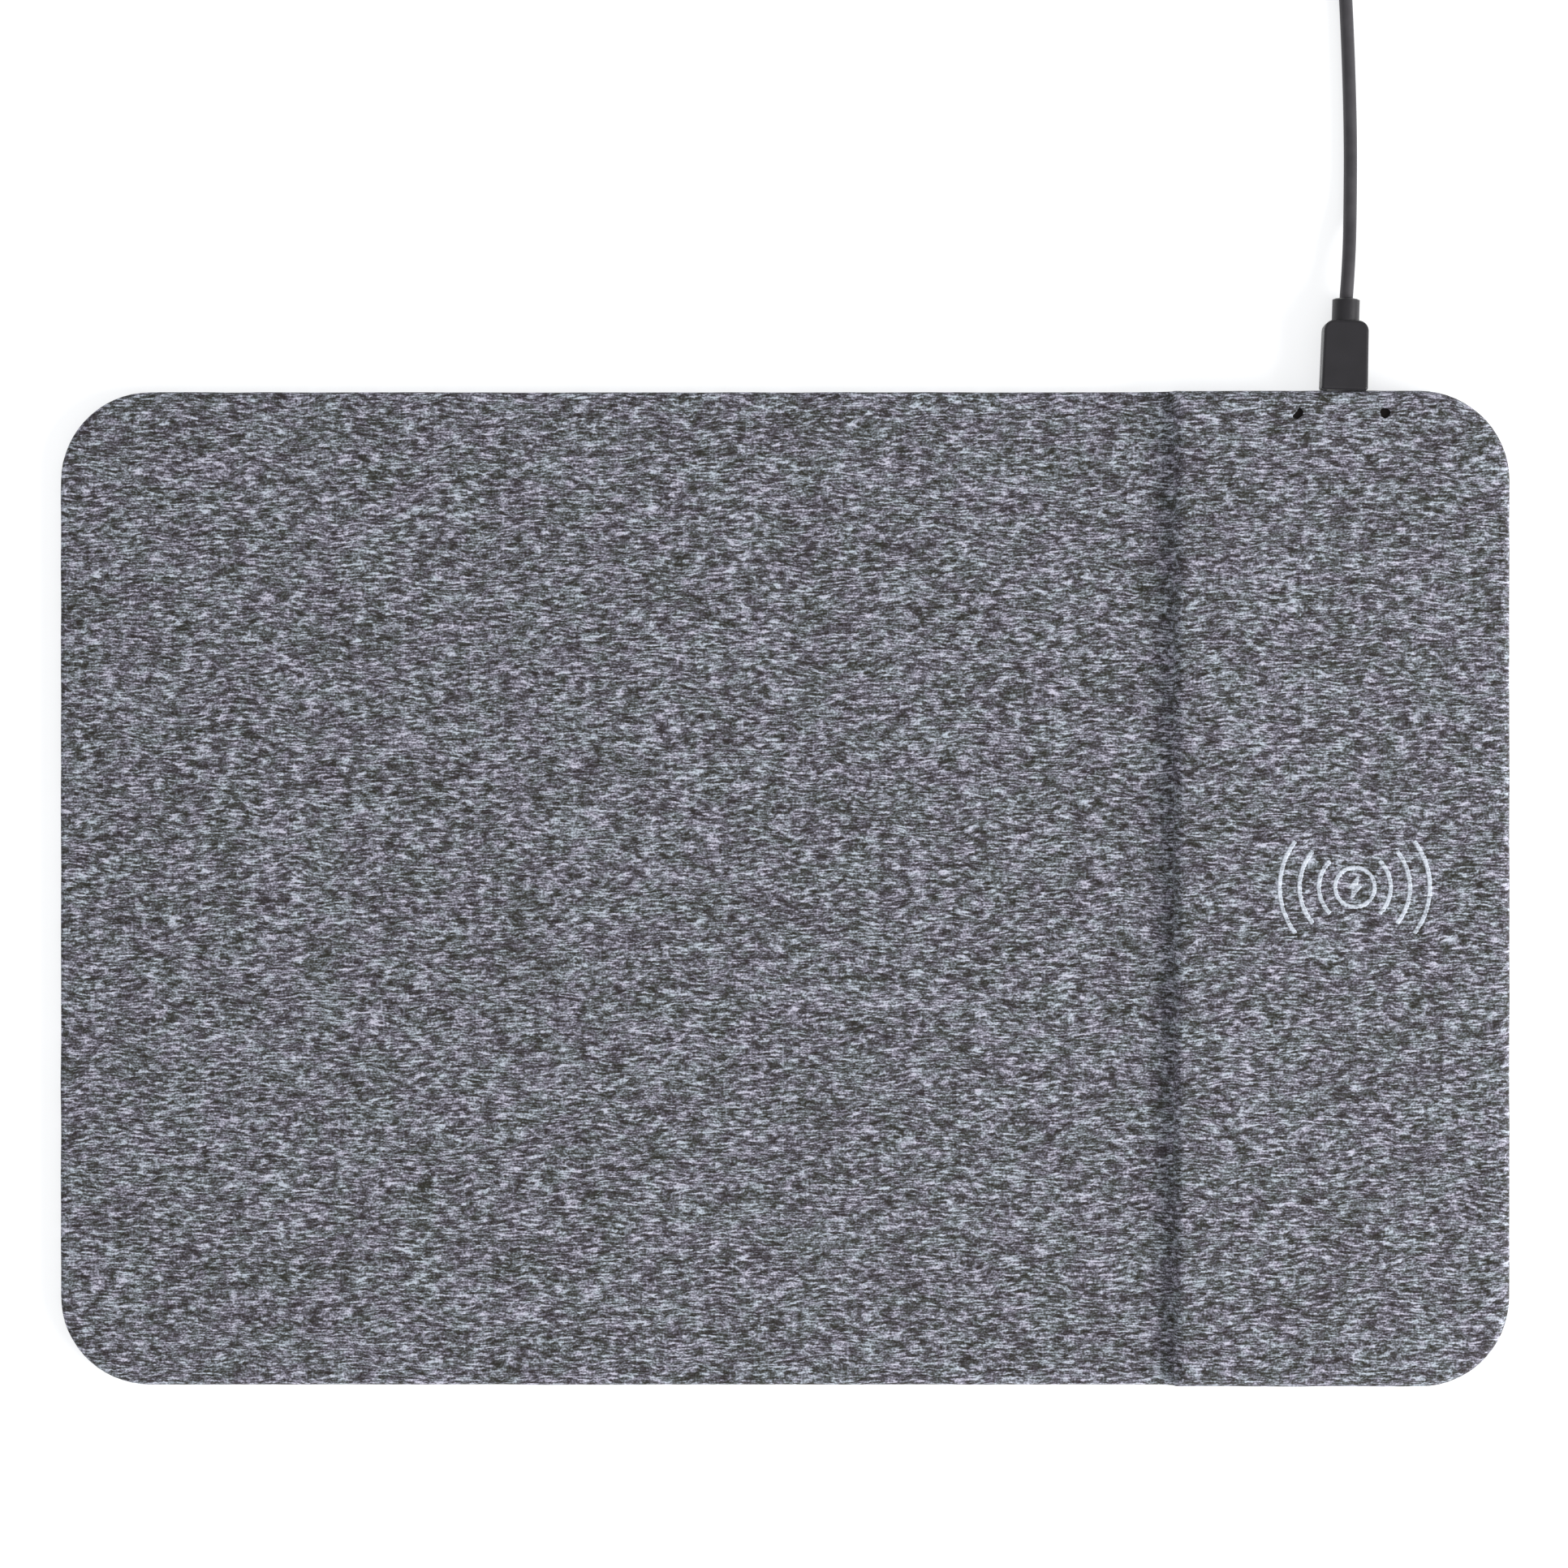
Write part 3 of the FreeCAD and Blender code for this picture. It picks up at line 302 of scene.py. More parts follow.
def metal(name, colour, rough=0.3, along=(4.0 * MM, 0.05 * MM, 0.05 * MM), **numbers):
    """Rolled or drawn metal: fine lines along one axis and faint patches of dulling."""
    look = Look(name, Metallic=1.0, **numbers)
    at = look.place()
    lines = look.noise(at, along, detail=2.0)
    patches = look.noise(at, (1.5 * MM,) * 3, detail=3.0)
    tone = look.total((0.5, lines), (0.5, patches))
    look.colour(look.ramp(tone, [(0.3, darker(colour, 0.72)), (0.65, colour)]))
    look.rough(look.span(tone, 0.3, 0.7, rough + 0.12, rough - 0.06))
    look.bump(lines, 0.006 * MM)
    return look.material


def cord_jacket():
    """Soft charcoal PVC: satin, with faint extrusion lines and handling marks."""
    look = Look("cord_jacket_pvc", Sheen_Weight=0.25, Sheen_Roughness=0.4, Specular_IOR_Level=0.4)
    look.shader.inputs["Sheen Tint"].default_value = (0.8, 0.78, 0.86, 1.0)
    at = look.place()
    patches = look.noise(at, (5 * MM,) * 3, detail=3.0)
    look.colour(look.ramp(patches, [(0.3, (0.042, 0.039, 0.044)), (0.7, (0.066, 0.062, 0.068))]))
    look.rough(look.span(patches, 0.3, 0.7, 0.42, 0.56))
    look.bump(look.noise(at, (0.2 * MM,) * 3, detail=2.0), 0.015 * MM)
    return look.material


def melange(look, flat):
    """Brightness of the marled knit about 0.5, and the cloth place that it follows."""
    drift = look.noise(flat, (15 * MM, 8 * MM, 1.0), detail=1.0)
    wobble = look.noise(flat, (3.0 * MM, 1.4 * MM, 1.0), detail=1.0, shift=4.0)
    sway = look.total(
        (2.4 * MM, look.maths("SUBTRACT", drift, 0.5)),
        (0.35 * MM, look.maths("SUBTRACT", wobble, 0.5)),
    )
    shift = look.node("CombineXYZ")
    look.put(shift.inputs["Y"], sway)
    moved = look.node("VectorMath", operation="ADD")
    look.put(moved.inputs[0], flat)
    look.put(moved.inputs[1], shift.outputs[0])
    at = moved.outputs[0]
    clumps = look.noise(at, (3.3 * MM, 1.9 * MM, 1.0), detail=2.0, rough=0.7)
    clouds = look.noise(at, (16 * MM, 9 * MM, 1.0), detail=2.0, shift=5.0)
    streaks = look.noise(at, (1.4 * MM, 0.44 * MM, 1.0), detail=0.0, shift=2.0)
    streaks = look.span(streaks, 0.28, 0.72, smooth=True)
    lines = look.noise(at, (3.2 * MM, 0.40 * MM, 1.0), detail=0.0, shift=9.0)
    lines = look.span(lines, 0.45, 0.66, smooth=True)
    yarn = look.node("SeparateColor")
    look.put(yarn.inputs[0], look.cells(at, (1.35 * MM, 0.50 * MM, 1.0), output="Color"))
    dots = look.noise(at, (0.42 * MM, 0.34 * MM, 1.0), detail=0.0, shift=7.0)
    value = look.total(
        (1.15, look.maths("SUBTRACT", clumps, 0.51)),
        (0.30, look.maths("SUBTRACT", clouds, 0.5)),
        (0.26, look.maths("SUBTRACT", streaks, 0.5)),
        (0.28, look.maths("SUBTRACT", lines, 0.3)),
        (0.34, look.maths("SUBTRACT", yarn.outputs[0], 0.5)),
        (0.78, look.maths("SUBTRACT", dots, 0.5)),
    )
    return look.maths("ADD", value, 0.5), at


def melange_cloth():
    look = Look("melange_cloth", Sheen_Weight=0.12, Sheen_Roughness=0.5, Specular_IOR_Level=0.25,
                Roughness=0.92)
    flat = look.place("flat")
    value, at = melange(look, flat)
    lavender = look.ramp(value, [
        (0.06, (0.032, 0.024, 0.026)), (0.32, (0.071, 0.063, 0.073)), (0.50, (0.148, 0.141, 0.172)),
        (0.70, (0.347, 0.333, 0.412)), (0.95, (0.69, 0.67, 0.79)),
    ])
    mist = look.ramp(value, [
        (0.06, (0.027, 0.026, 0.018)), (0.32, (0.064, 0.065, 0.059)), (0.50, (0.135, 0.147, 0.157)),
        (0.70, (0.315, 0.345, 0.388)), (0.95, (0.61, 0.68, 0.76)),
    ])
    hue = look.total(
        (0.55, look.noise(at, (3.0 * MM, 1.8 * MM, 1.0), detail=2.0, rough=0.6, shift=11.0)),
        (0.45, look.noise(at, (10.0 * MM, 7.0 * MM, 1.0), detail=1.0, shift=14.0)),
    )
    look.colour(look.mix(look.span(hue, 0.41, 0.59), lavender, mist))
    look.bump(value, 0.12 * MM)
    return look.material


def speckled(name, colour, second, rough=0.7, size=0.4 * MM, depth=0.03 * MM, **numbers):
    """Sintered, cellular or filled stuff: grains of a second colour in the first, with fine pits."""
    look = Look(name, **numbers)
    at = look.place()
    grains = look.cells(at, (size,) * 3)
    cloud = look.noise(at, (size * 12,) * 3, detail=3.0)
    base = look.ramp(cloud, [(0.3, darker(colour, 0.85)), (0.7, darker(colour, 1.15))])
    look.colour(look.mix(look.span(grains, 0.15, 0.6), second, base))
    look.rough(look.span(cloud, 0.3, 0.7, rough - 0.06, rough + 0.06))
    look.bump(grains, depth)
    return look.material


def solder_mask():
    """Green mask over copper tracks: the tracks stand up a little and show lighter."""
    look = Look("solder_mask", Coat_Weight=0.3, Coat_Roughness=0.25)
    at = look.place()
    bands = look.noise(at, (5.0 * MM, 5.0 * MM, 50 * MM), detail=0.0)
    tracks = look.maths("PINGPONG", bands, 0.035)
    raised = look.span(tracks, 0.012, 0.018, smooth=True)
    grain = look.noise(at, (0.3 * MM,) * 3, detail=2.0)
    over_track = look.ramp(grain, [(0.3, (0.02, 0.15, 0.06)), (0.7, (0.03, 0.2, 0.085))])
    look.colour(look.mix(raised, (0.010, 0.085, 0.035), over_track))
    look.rough(look.span(grain, 0.3, 0.7, 0.35, 0.5))
    look.bump(raised, 0.03 * MM)
    return look.material


def wound_copper():
    """Enamelled strands laid in a coil: fine lines of tone and small pale glints."""
    look = Look("enamelled_copper", Metallic=0.85)
    at = look.place()
    strands = look.noise(at, (0.14 * MM,) * 3, detail=2.0)
    cloud = look.noise(at, (2.5 * MM,) * 3, detail=2.0)
    tone = look.total((0.6, strands), (0.4, cloud))
    look.colour(look.ramp(tone, [(0.35, (0.30, 0.10, 0.035)), (0.65, (0.72, 0.31, 0.13))]))
    look.rough(look.span(strands, 0.3, 0.7, 0.28, 0.48))
    look.bump(strands, 0.04 * MM)
    return look.material


def film():
    """Double-sided adhesive film on its fibre carrier."""
    look = Look("adhesive_film", Coat_Weight=0.4, Coat_Roughness=0.2)
    at = look.place()
    fibres = look.noise(at, (2.2 * MM, 0.25 * MM, 5 * MM), detail=3.0)
    across = look.noise(at, (0.25 * MM, 2.0 * MM, 5 * MM), detail=3.0, shift=3.0)
    tone = look.total((0.5, fibres), (0.5, across))
    look.colour(look.ramp(tone, [(0.35, (0.58, 0.56, 0.46)), (0.62, (0.74, 0.72, 0.62))]))
    look.rough(look.span(tone, 0.3, 0.7, 0.35, 0.55))
    look.bump(tone, 0.03 * MM)
    return look.material


def anti_slip_rubber():
    """Black natural-rubber sheet: a fine knurl, cellular pits and a slightly dusty bloom."""
    look = Look("anti_slip_rubber", Specular_IOR_Level=0.35, Sheen_Weight=0.15, Sheen_Roughness=0.5)
    at = look.place()
    pits = look.cells(at, (0.55 * MM,) * 3)
    bloom = look.noise(at, (18 * MM,) * 3, detail=4.0)
    specks = look.noise(at, (0.25 * MM,) * 3, detail=2.0)
    tone = look.total((0.6, bloom), (0.4, specks))
    look.colour(look.ramp(tone, [(0.35, (0.014, 0.014, 0.015)), (0.65, (0.032, 0.031, 0.031))]))
    look.rough(look.span(tone, 0.3, 0.7, 0.72, 0.9))
    knurl = look.node("TexWave", wave_type="BANDS", bands_direction="DIAGONAL", wave_profile="SIN")
    look.put(knurl.inputs["Vector"], look.stretch(at, (2.2 * MM,) * 3))
    knurl.inputs["Scale"].default_value = 1.0
    knurl.inputs["Distortion"].default_value = 1.5
    look.bump(look.total((0.6, pits), (0.5, knurl.outputs["Fac"])), 0.10 * MM)
    return look.material


def symbol_ink():
    """Pale ink printed on the knit: it follows the yarns and is thin where they dip."""
    look = Look("symbol_print_ink", Specular_IOR_Level=0.3)
    value, at = melange(look, look.place("flat"))
    cover = look.noise(at, (0.45 * MM, 0.3 * MM, 1.0), detail=2.0, shift=23.0)
    tone = look.total((0.55, value), (0.45, cover))
    look.colour(look.ramp(tone, [
        (0.22, (0.22, 0.23, 0.26)), (0.38, (0.50, 0.54, 0.60)), (0.55, (0.68, 0.73, 0.82)),
        (0.8, (0.88, 0.92, 0.98)),
    ]))
    look.rough(look.span(cover, 0.3, 0.7, 0.6, 0.8))
    look.bump(value, 0.08 * MM)
    return look.material


def floor_paper():
    """White sweep of paper, lit from below as well, so that it stays pale."""
    look = Look("floor_paper", Roughness=0.9, Specular_IOR_Level=0.1)
    at = look.place()
    tone = look.noise(at, (60 * MM,) * 3, detail=3.0)
    look.colour(look.ramp(tone, [(0.3, (0.575, 0.575, 0.575)), (0.7, (0.585, 0.585, 0.585))]))
    look.shader.inputs["Emission Color"].default_value = (0.98, 0.99, 1.0, 1.0)
    look.shader.inputs["Emission Strength"].default_value = 0.68
    return look.material


# ---------------------------------------------------------------- building meshes
def mesh_object(name, vertices, faces, material):
    mesh = bpy.data.meshes.new(name)
    mesh.from_pydata([tuple(v) for v in vertices], [], faces)
    mesh.materials.append(material)
    piece = bpy.data.objects.new(name, mesh)
    bpy.context.scene.collection.objects.link(piece)
    return piece


def smooth_shade(piece):
    piece.data.polygons.foreach_set("use_smooth", [True] * len(piece.data.polygons))


# ---------------------------------------------------------------- cloth shape
def wander(x, y, size, amount, seed):
    """A smooth random value at each place, within about +-amount, that changes over size."""
    x, y = np.broadcast_arrays(x, y)
    values = [noise.noise(Vector((a / size, b / size, seed))) for a, b in zip(x.ravel(), y.ravel())]
    return np.array(values).reshape(x.shape) * amount * 1.6


def cloth_height(x, y):
    """Height of the cloth's outer side over a place, before the rounding at the outline."""
    x, y = np.broadcast_arrays(np.asarray(x, float), np.asarray(y, float))
    near = np.clip(1.0 - np.abs(x - STEP_X) / STEP_WAVER_REACH, 0.0, 1.0)
    waver = STEP_WAVER + wander(0.0 * x, y, 7.0 * MM, 0.16 * MM, 3.0)
    waver = waver + wander(0.0 * x, y, 2.6 * MM, 0.07 * MM, 5.0)
    at = x + near * waver
    wall_top = MODULE_TOP - STEP_CORNER
    up = np.clip((at - (STEP_X - STEP_FOOT)) / STEP_FOOT, 0.0, 1.0)
    bridge = np.clip(1.0 - (STEP_X - STEP_FOOT - at) / BRIDGE_REACH, 0.0, 1.0)
    foot = MAT_TOP + BRIDGE_RISE * bridge ** 2
    wall = foot + (wall_top - foot) * up ** WALL_STEEPNESS
    across = np.clip(STEP_CORNER - (at - STEP_X), 0.0, STEP_CORNER)
    crown = MODULE_TOP - STEP_CORNER + np.sqrt(STEP_CORNER ** 2 - across ** 2)
    height = np.where(at < STEP_X, wall, crown)
    return height + wander(x, y, 22.0 * MM, 0.035 * MM, 1.0) + wander(x, y, 7.0 * MM, 0.015 * MM, 2.0)


def edge_round(x):
    share = np.clip((x - STEP_X + STEP_FOOT) / STEP_CORNER, 0.0, 1.0)
    return MAT_EDGE_ROUND + (MODULE_EDGE_ROUND - MAT_EDGE_ROUND) * share * share * (3.0 - 2.0 * share)


def spread(marks, step):
    """Places from the first mark to the last, through every mark, no further than step apart."""
    places = [marks[0]]
    for low, high in zip(marks, marks[1:]):
        count = max(1, math.ceil((high - low) / step - 1e-6))
        places.extend(low + (high - low) * i / count for i in range(1, count + 1))
    return np.array(places)


def cloth_columns():
    """Places along X where the cloth mesh has vertices: close together at the step and the openings."""
    span = HALF_WIDTH - CORNER_RADIUS
    step = [STEP_X + offset * MM for offset in (
        -3.0, -2.2, -1.5, -1.0, -0.75, -0.6, -0.5, -0.4, -0.3, -0.2, -0.1, 0.0, 0.1, 0.25, 0.45, 0.7, 1.0,
        1.35, 1.8, 2.3, 3.0)]
    holes = [x + HOLE_BLOCK * (2 * i / HOLE_CELLS - 1) for x in LED_X for i in range(HOLE_CELLS + 1)]
    window = [PORT_X - WINDOW_HALF, PORT_X + WINDOW_HALF]
    return spread(sorted([-span, *step, *holes, *window, span]), GRID_STEP)


def cloth_rows():
    span = HALF_DEPTH - CORNER_RADIUS
    return spread([-span, span], GRID_STEP)


def stations(columns, rows):
    """Outline points, anticlockwise from the front left, with the direction inward at each."""
    x_end, y_end = HALF_WIDTH - CORNER_RADIUS, HALF_DEPTH - CORNER_RADIUS
    steps = 15
    found = [(x, -HALF_DEPTH, 0.0, 1.0) for x in columns]

    def corner(cx, cy, start):
        for i in range(1, steps):
            a = math.radians(start + 90.0 * i / steps)
            right, back = math.cos(a), math.sin(a)
            found.append((cx + CORNER_RADIUS * right, cy + CORNER_RADIUS * back, -right, -back))

    corner(x_end, -y_end, -90.0)
    found.extend((HALF_WIDTH, y, -1.0, 0.0) for y in rows)
    corner(x_end, y_end, 0.0)
    found.extend((x, HALF_DEPTH, 0.0, -1.0) for x in columns[::-1])
    corner(-x_end, y_end, 90.0)
    found.extend((-HALF_WIDTH, y, 1.0, 0.0) for y in rows[::-1])
    corner(-x_end, -y_end, 180.0)
    return np.array(found)


def inset_rows():
    """Insets from the outline of the flat rows on top: fine across the LED holes."""
    middle = HALF_DEPTH - LED_Y
    block = [middle + HOLE_BLOCK * (2 * i / HOLE_CELLS - 1) for i in range(HOLE_CELLS + 1)]
    return spread([*block, CORNER_RADIUS], 2.4 * MM)


def outline_sway(place):
    """How far each outline point stands inside the plain outline. The cloth swells round the socket."""
    on_mat = np.clip((STEP_X - place[:, 0]) / (3.0 * MM), 0.0, 1.0)
    at_back = place[:, 1] > HALF_DEPTH - 0.01 * MM
    at_port = np.clip(1.5 - np.abs(place[:, 0] - PORT_X) / (6.0 * MM), 0.0, 1.0) * at_back
    slow = wander(place[:, 0], place[:, 1], 11.0 * MM, 0.06 * MM, 8.0)
    quick = wander(place[:, 0], place[:, 1], 4.0 * MM, 0.03 * MM, 9.0)
    return 0.12 * MM * on_mat + (slow + quick) * (1.0 - at_port) - 0.09 * MM * at_port


def on_top(place, inset):
    """Cloth points at an inset from each outline point, past the edge rounding."""
    moved = inset + outline_sway(place) * (1.0 - inset / CORNER_RADIUS) ** 2
    x = place[:, 0] + place[:, 2] * moved
    y = place[:, 1] + place[:, 3] * moved
    return np.stack([x, y, cloth_height(x, y)], axis=1)


def edge_sections(place):
    """Rings of cloth points from the hem's inner edge, under, up the side and over the top."""
    rings, flats = [], []
    sway = outline_sway(place)
    radius = edge_round(place[:, 0])
    edge = place[:, :2] + place[:, 2:] * radius[:, None]
    top = cloth_height(edge[:, 0], edge[:, 1])
    wall_top = top - radius
    wall_foot = HEM_BOTTOM + BOTTOM_ROUND
    curl = math.pi / 2
    past_wall = radius - radius * curl - (wall_top - wall_foot)
    past_turn = past_wall - BOTTOM_ROUND * curl

    def ring(inset, z, along):
        moved = inset + sway * np.clip(1.0 - inset / CORNER_RADIUS, 0.0, 1.0) ** 2
        x = place[:, 0] + place[:, 2] * moved
        y = place[:, 1] + place[:, 3] * moved
        rings.append(np.stack([x, y, z + 0.0 * x], axis=1))
        flats.append(place[:, :2] + place[:, 2:] * (along + 0.0 * x)[:, None])

    for inset in (8.0, 6.2, 4.4, 2.8, 1.6, 0.95):
        ring(inset * MM, HEM_BOTTOM, past_turn - (inset * MM - BOTTOM_ROUND))
    for i in range(5):
        a = curl * i / 4
        ring(BOTTOM_ROUND * (1 - math.sin(a)), HEM_BOTTOM + BOTTOM_ROUND * (1 - math.cos(a)),
             past_turn + BOTTOM_ROUND * a)
    window_share = (WINDOW_BOTTOM - wall_foot) / (MODULE_TOP - MODULE_EDGE_ROUND - wall_foot)
    for share in (0.15, window_share, 0.5, 0.75):
        ring(0.0, wall_foot + (wall_top - wall_foot) * share, past_wall + (wall_top - wall_foot) * share)
    for i in range(8):
        a = curl * i / 7
        ring(radius * (1 - math.cos(a)), wall_top + radius * math.sin(a), radius - radius * (curl - a))
    return rings, flats


def climb(height):
    """Extra cloth used up along X by the climb over the step, as a share of the height gained."""
    return CLIMB_SHARE * np.clip(height - MAT_TOP, 0.0, MODULE_TOP - MAT_TOP)


class Skin:
    """Vertices, faces and the flat place of each vertex in the uncut cloth."""

    def __init__(self):
        self.points, self.flat, self.faces = [], [], []

    def grid(self, points, flat, closed=False, keep=None):
        """Adds a grid of points, rows by columns. keep says which of its cells are cloth."""
        rows, columns = points.shape[:2]
        base = sum(len(p) for p in self.points)
        self.points.append(points.reshape(-1, 3))
        self.flat.append(flat.reshape(-1, 2))
        for r in range(rows - 1):
            for c in range(columns if closed else columns - 1):
                if keep is not None and not keep(r, c):
                    continue
                d = (c + 1) % columns
                self.faces.append((base + r * columns + c, base + r * columns + d,
                                   base + (r + 1) * columns + d, base + (r + 1) * columns + c))

    def build(self, name, material):
        points = np.concatenate(self.points)
        flat = np.concatenate(self.flat)
        piece = mesh_object(name, points, self.faces, material)
        layer = piece.data.attributes.new("flat", "FLOAT_VECTOR", "POINT")
        places = np.column_stack([flat, 0.0 * flat[:, 0]]).astype(np.float32)
        layer.data.foreach_set("vector", places.ravel())
        work = bmesh.new()
        work.from_mesh(piece.data)
        bmesh.ops.remove_doubles(work, verts=work.verts, dist=0.004 * MM)
        bmesh.ops.dissolve_degenerate(work, edges=work.edges, dist=0.002 * MM)
        work.to_mesh(piece.data)
        work.free()
        smooth_shade(piece)
        return piece


def hole_reach(angle, flap):
    """Distance from an LED hole's middle to its edge. A flap of cloth closes part of the left one."""
    reach = LED_HOLE_RADIUS * (1.0 + 0.05 * math.sin(3 * angle + 0.6) + 0.03 * math.sin(7 * angle))
    if flap:
        toward = math.cos(angle - FLAP_DIRECTION)
        if toward > 0.05:
            reach = min(reach, FLAP_EDGE / toward)
        for direction, size, power in HOLE_BULGES:
            reach += size * max(0.0, math.cos(angle - math.radians(direction))) ** power
    return reach


def hole_patch(skin, x_middle, flap):
    """Cloth between an LED hole and the square block left open for it in the edge grid."""
    side = [HOLE_BLOCK * (2 * i / HOLE_CELLS - 1) for i in range(HOLE_CELLS)]
    square = [(s, -HOLE_BLOCK) for s in side] + [(HOLE_BLOCK, s) for s in side]
    square += [(-s, HOLE_BLOCK) for s in side] + [(-HOLE_BLOCK, -s) for s in side]
    rings, flats = [], []
    for share in (0.0, 0.3, 0.55, 0.75, 0.9, 1.0):
        offsets = []
        for across, along in square:
            angle = math.atan2(along, across)
            reach = hole_reach(angle, flap)
            rim_x, rim_y = reach * math.cos(angle), reach * math.sin(angle)
            offsets.append((across + (rim_x - across) * share, along + (rim_y - along) * share))
        at = np.array(offsets) + (x_middle, LED_Y)
        place = np.column_stack([at[:, 0], 0 * at[:, 0] + HALF_DEPTH, 0 * at[:, 0], 0 * at[:, 0] - 1.0])
        ring = np.concatenate([on_top(place[i:i + 1], HALF_DEPTH - at[i:i + 1, 1]) for i in range(len(at))])
        ring[:, 2] -= HOLE_PUCKER * share ** 2
        rings.append(ring)
        flats.append(at)
    points, flat = np.array(rings), np.array(flats)
    flat[:, :, 0] += climb(points[:, :, 2])
    skin.grid(points, flat, closed=True)


def make_cloth(material):
    """One sheet over mat and module, down the sides and turned under as a hem."""
    columns, rows = cloth_columns(), cloth_rows()
    place = stations(columns, rows)
    rings, flats = edge_sections(place)
    edge_count = len(rings)
    insets = inset_rows()
    for inset in insets:
        rings.append(on_top(place, inset))
        flats.append(place[:, :2] + place[:, 2:] * inset)
    points, flat = np.array(rings), np.array(flats)
    flat[:, :, 0] += climb(cloth_height(flat[:, :, 0], flat[:, :, 1]))
    middle = (place + np.roll(place, -1, axis=0)) / 2
    at_back = middle[:, 1] > HALF_DEPTH - 0.01 * MM
    in_window = at_back & (np.abs(middle[:, 0] - PORT_X) < WINDOW_HALF)
    in_block = at_back & (np.min([np.abs(middle[:, 0] - x) for x in LED_X], axis=0) < HOLE_BLOCK)
    window_rings = range(edge_count - 11, edge_count - 8)
    block_rings = range(edge_count, edge_count + HOLE_CELLS)

    def keep(ring, column):
        return not (in_window[column] and ring in window_rings or in_block[column] and ring in block_rings)

    skin = Skin()
    skin.grid(points, flat, closed=True, keep=keep)
    x, y = np.meshgrid(columns, rows)
    height = cloth_height(x, y)
    skin.grid(np.stack([x, y, height], axis=2), np.stack([x + climb(height), y], axis=2))
    for x_middle, flap in zip(LED_X, (True, False)):
        hole_patch(skin, x_middle, flap)
    sheet = skin.build("melange_cloth", material)
    solid = sheet.modifiers.new("thickness", "SOLIDIFY")
    solid.thickness = CLOTH
    solid.offset = -1.0
    solid.use_even_offset = True
    apply_modifiers(sheet)
    return sheet


def apply_modifiers(piece):
    """Leaves the modified mesh on the piece and no modifier."""
    graph = bpy.context.evaluated_depsgraph_get()
    mesh = bpy.data.meshes.new_from_object(piece.evaluated_get(graph))
    piece.modifiers.clear()
    piece.data = mesh
    mesh.name = piece.name


# ---------------------------------------------------------------- other pad pieces
def rounded_outline(low, high, left_radius, right_radius):
    """Corner points of a rectangle with rounded corners, anticlockwise from the front left."""
    steps = 14
    points = []
    for cx, cy, radius, start in (
        (low.x + left_radius, low.y + left_radius, left_radius, 180),
        (high.x - right_radius, low.y + right_radius, right_radius, 270),
        (high.x - right_radius, high.y - right_radius, right_radius, 0),
        (low.x + left_radius, high.y - left_radius, left_radius, 90),
    ):
        for i in range(steps + 1):
            a = math.radians(start + 90.0 * i / steps)
            points.append((cx + radius * math.cos(a), cy + radius * math.sin(a)))
    return points


def slab(name, low, high, radii, step, edge, relief, material):
    """A soft sheet with rounded edges, cut into cells of about step, its underside shaped by relief."""
    work = bmesh.new()
    corners = [work.verts.new((x, y, high.z)) for x, y in rounded_outline(low, high, *radii)]
    work.faces.new(corners)
    for axis in (0, 1):
        normal = [0.0, 0.0, 0.0]
        normal[axis] = 1.0
        for place in spread([low[axis], high[axis]], step)[1:-1]:
            at = [0.0, 0.0, 0.0]
            at[axis] = place
            everything = work.verts[:] + work.edges[:] + work.faces[:]
            bmesh.ops.bisect_plane(work, geom=everything, plane_co=at, plane_no=normal, dist=0.01 * MM)
    bmesh.ops.remove_doubles(work, verts=work.verts, dist=0.02 * MM)
    mesh = bpy.data.meshes.new(name)
    work.to_mesh(mesh)
    work.free()
    mesh.materials.append(material)
    piece = bpy.data.objects.new(name, mesh)
    bpy.context.scene.collection.objects.link(piece)
    solid = piece.modifiers.new("thickness", "SOLIDIFY")
    solid.thickness = high.z - low.z
    solid.offset = -1.0
    bevel = piece.modifiers.new("edge", "BEVEL")
    bevel.width = edge
    bevel.segments = 3
    bevel.limit_method = "ANGLE"
    bevel.angle_limit = math.radians(50)
    apply_modifiers(piece)
    middle = (low.z + high.z) / 2
    for vertex in piece.data.vertices:
        if vertex.co.z < middle:
            vertex.co.z += relief(vertex.co.x, vertex.co.y)
        else:
            vertex.co.z -= relief(vertex.co.y, vertex.co.x)
    smooth_shade(piece)
    return piece


def anti_slip_relief(x, y):
    """Shallow lozenges pressed into the rubber."""
    pitch = 9.0 * MM
    return 0.06 * MM * (1 + math.sin(math.tau * (x + y) / pitch) * math.sin(math.tau * (x - y) / pitch))


def foam_relief(x, y):
    return 0.04 * MM * (1 + noise.noise(Vector((x / (14 * MM), y / (14 * MM), 6.0))))


# ---------------------------------------------------------------- charging symbol
SYMBOL_LO, SYMBOL_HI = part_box("charge_symbol_print")
SYMBOL_X = (SYMBOL_LO.x + SYMBOL_HI.x) / 2
SYMBOL_Y = (SYMBOL_LO.y + SYMBOL_HI.y) / 2
RING_RADIUS, RING_STROKE = 4.08 * MM, 0.83 * MM
WAVE_STROKE = 0.92 * MM
WAVES = ((7.42 * MM, 47.0), (11.4 * MM, 41.0), (15.5 * MM, 38.0))
BOLT_HALF = ((0.55, 2.3), (0.95, 2.3), (0.68, 0.38), (1.75, 0.38))
INK_STEP = 0.22 * MM
INK_DEPTH = 0.05 * MM
BOLT_ROWS = 22
BOLT_TIP_SHARE = 0.985


def fray(x, y, seed):
    """How far the ink's edge is drawn out or in along the yarns."""
    return 0.10 * MM * (noise.noise(Vector((x / (0.9 * MM), y / (0.30 * MM), seed)))
                         + 0.7 * noise.noise(Vector((x / (0.35 * MM), y / (0.2 * MM), seed + 4.0)))) * 1.7


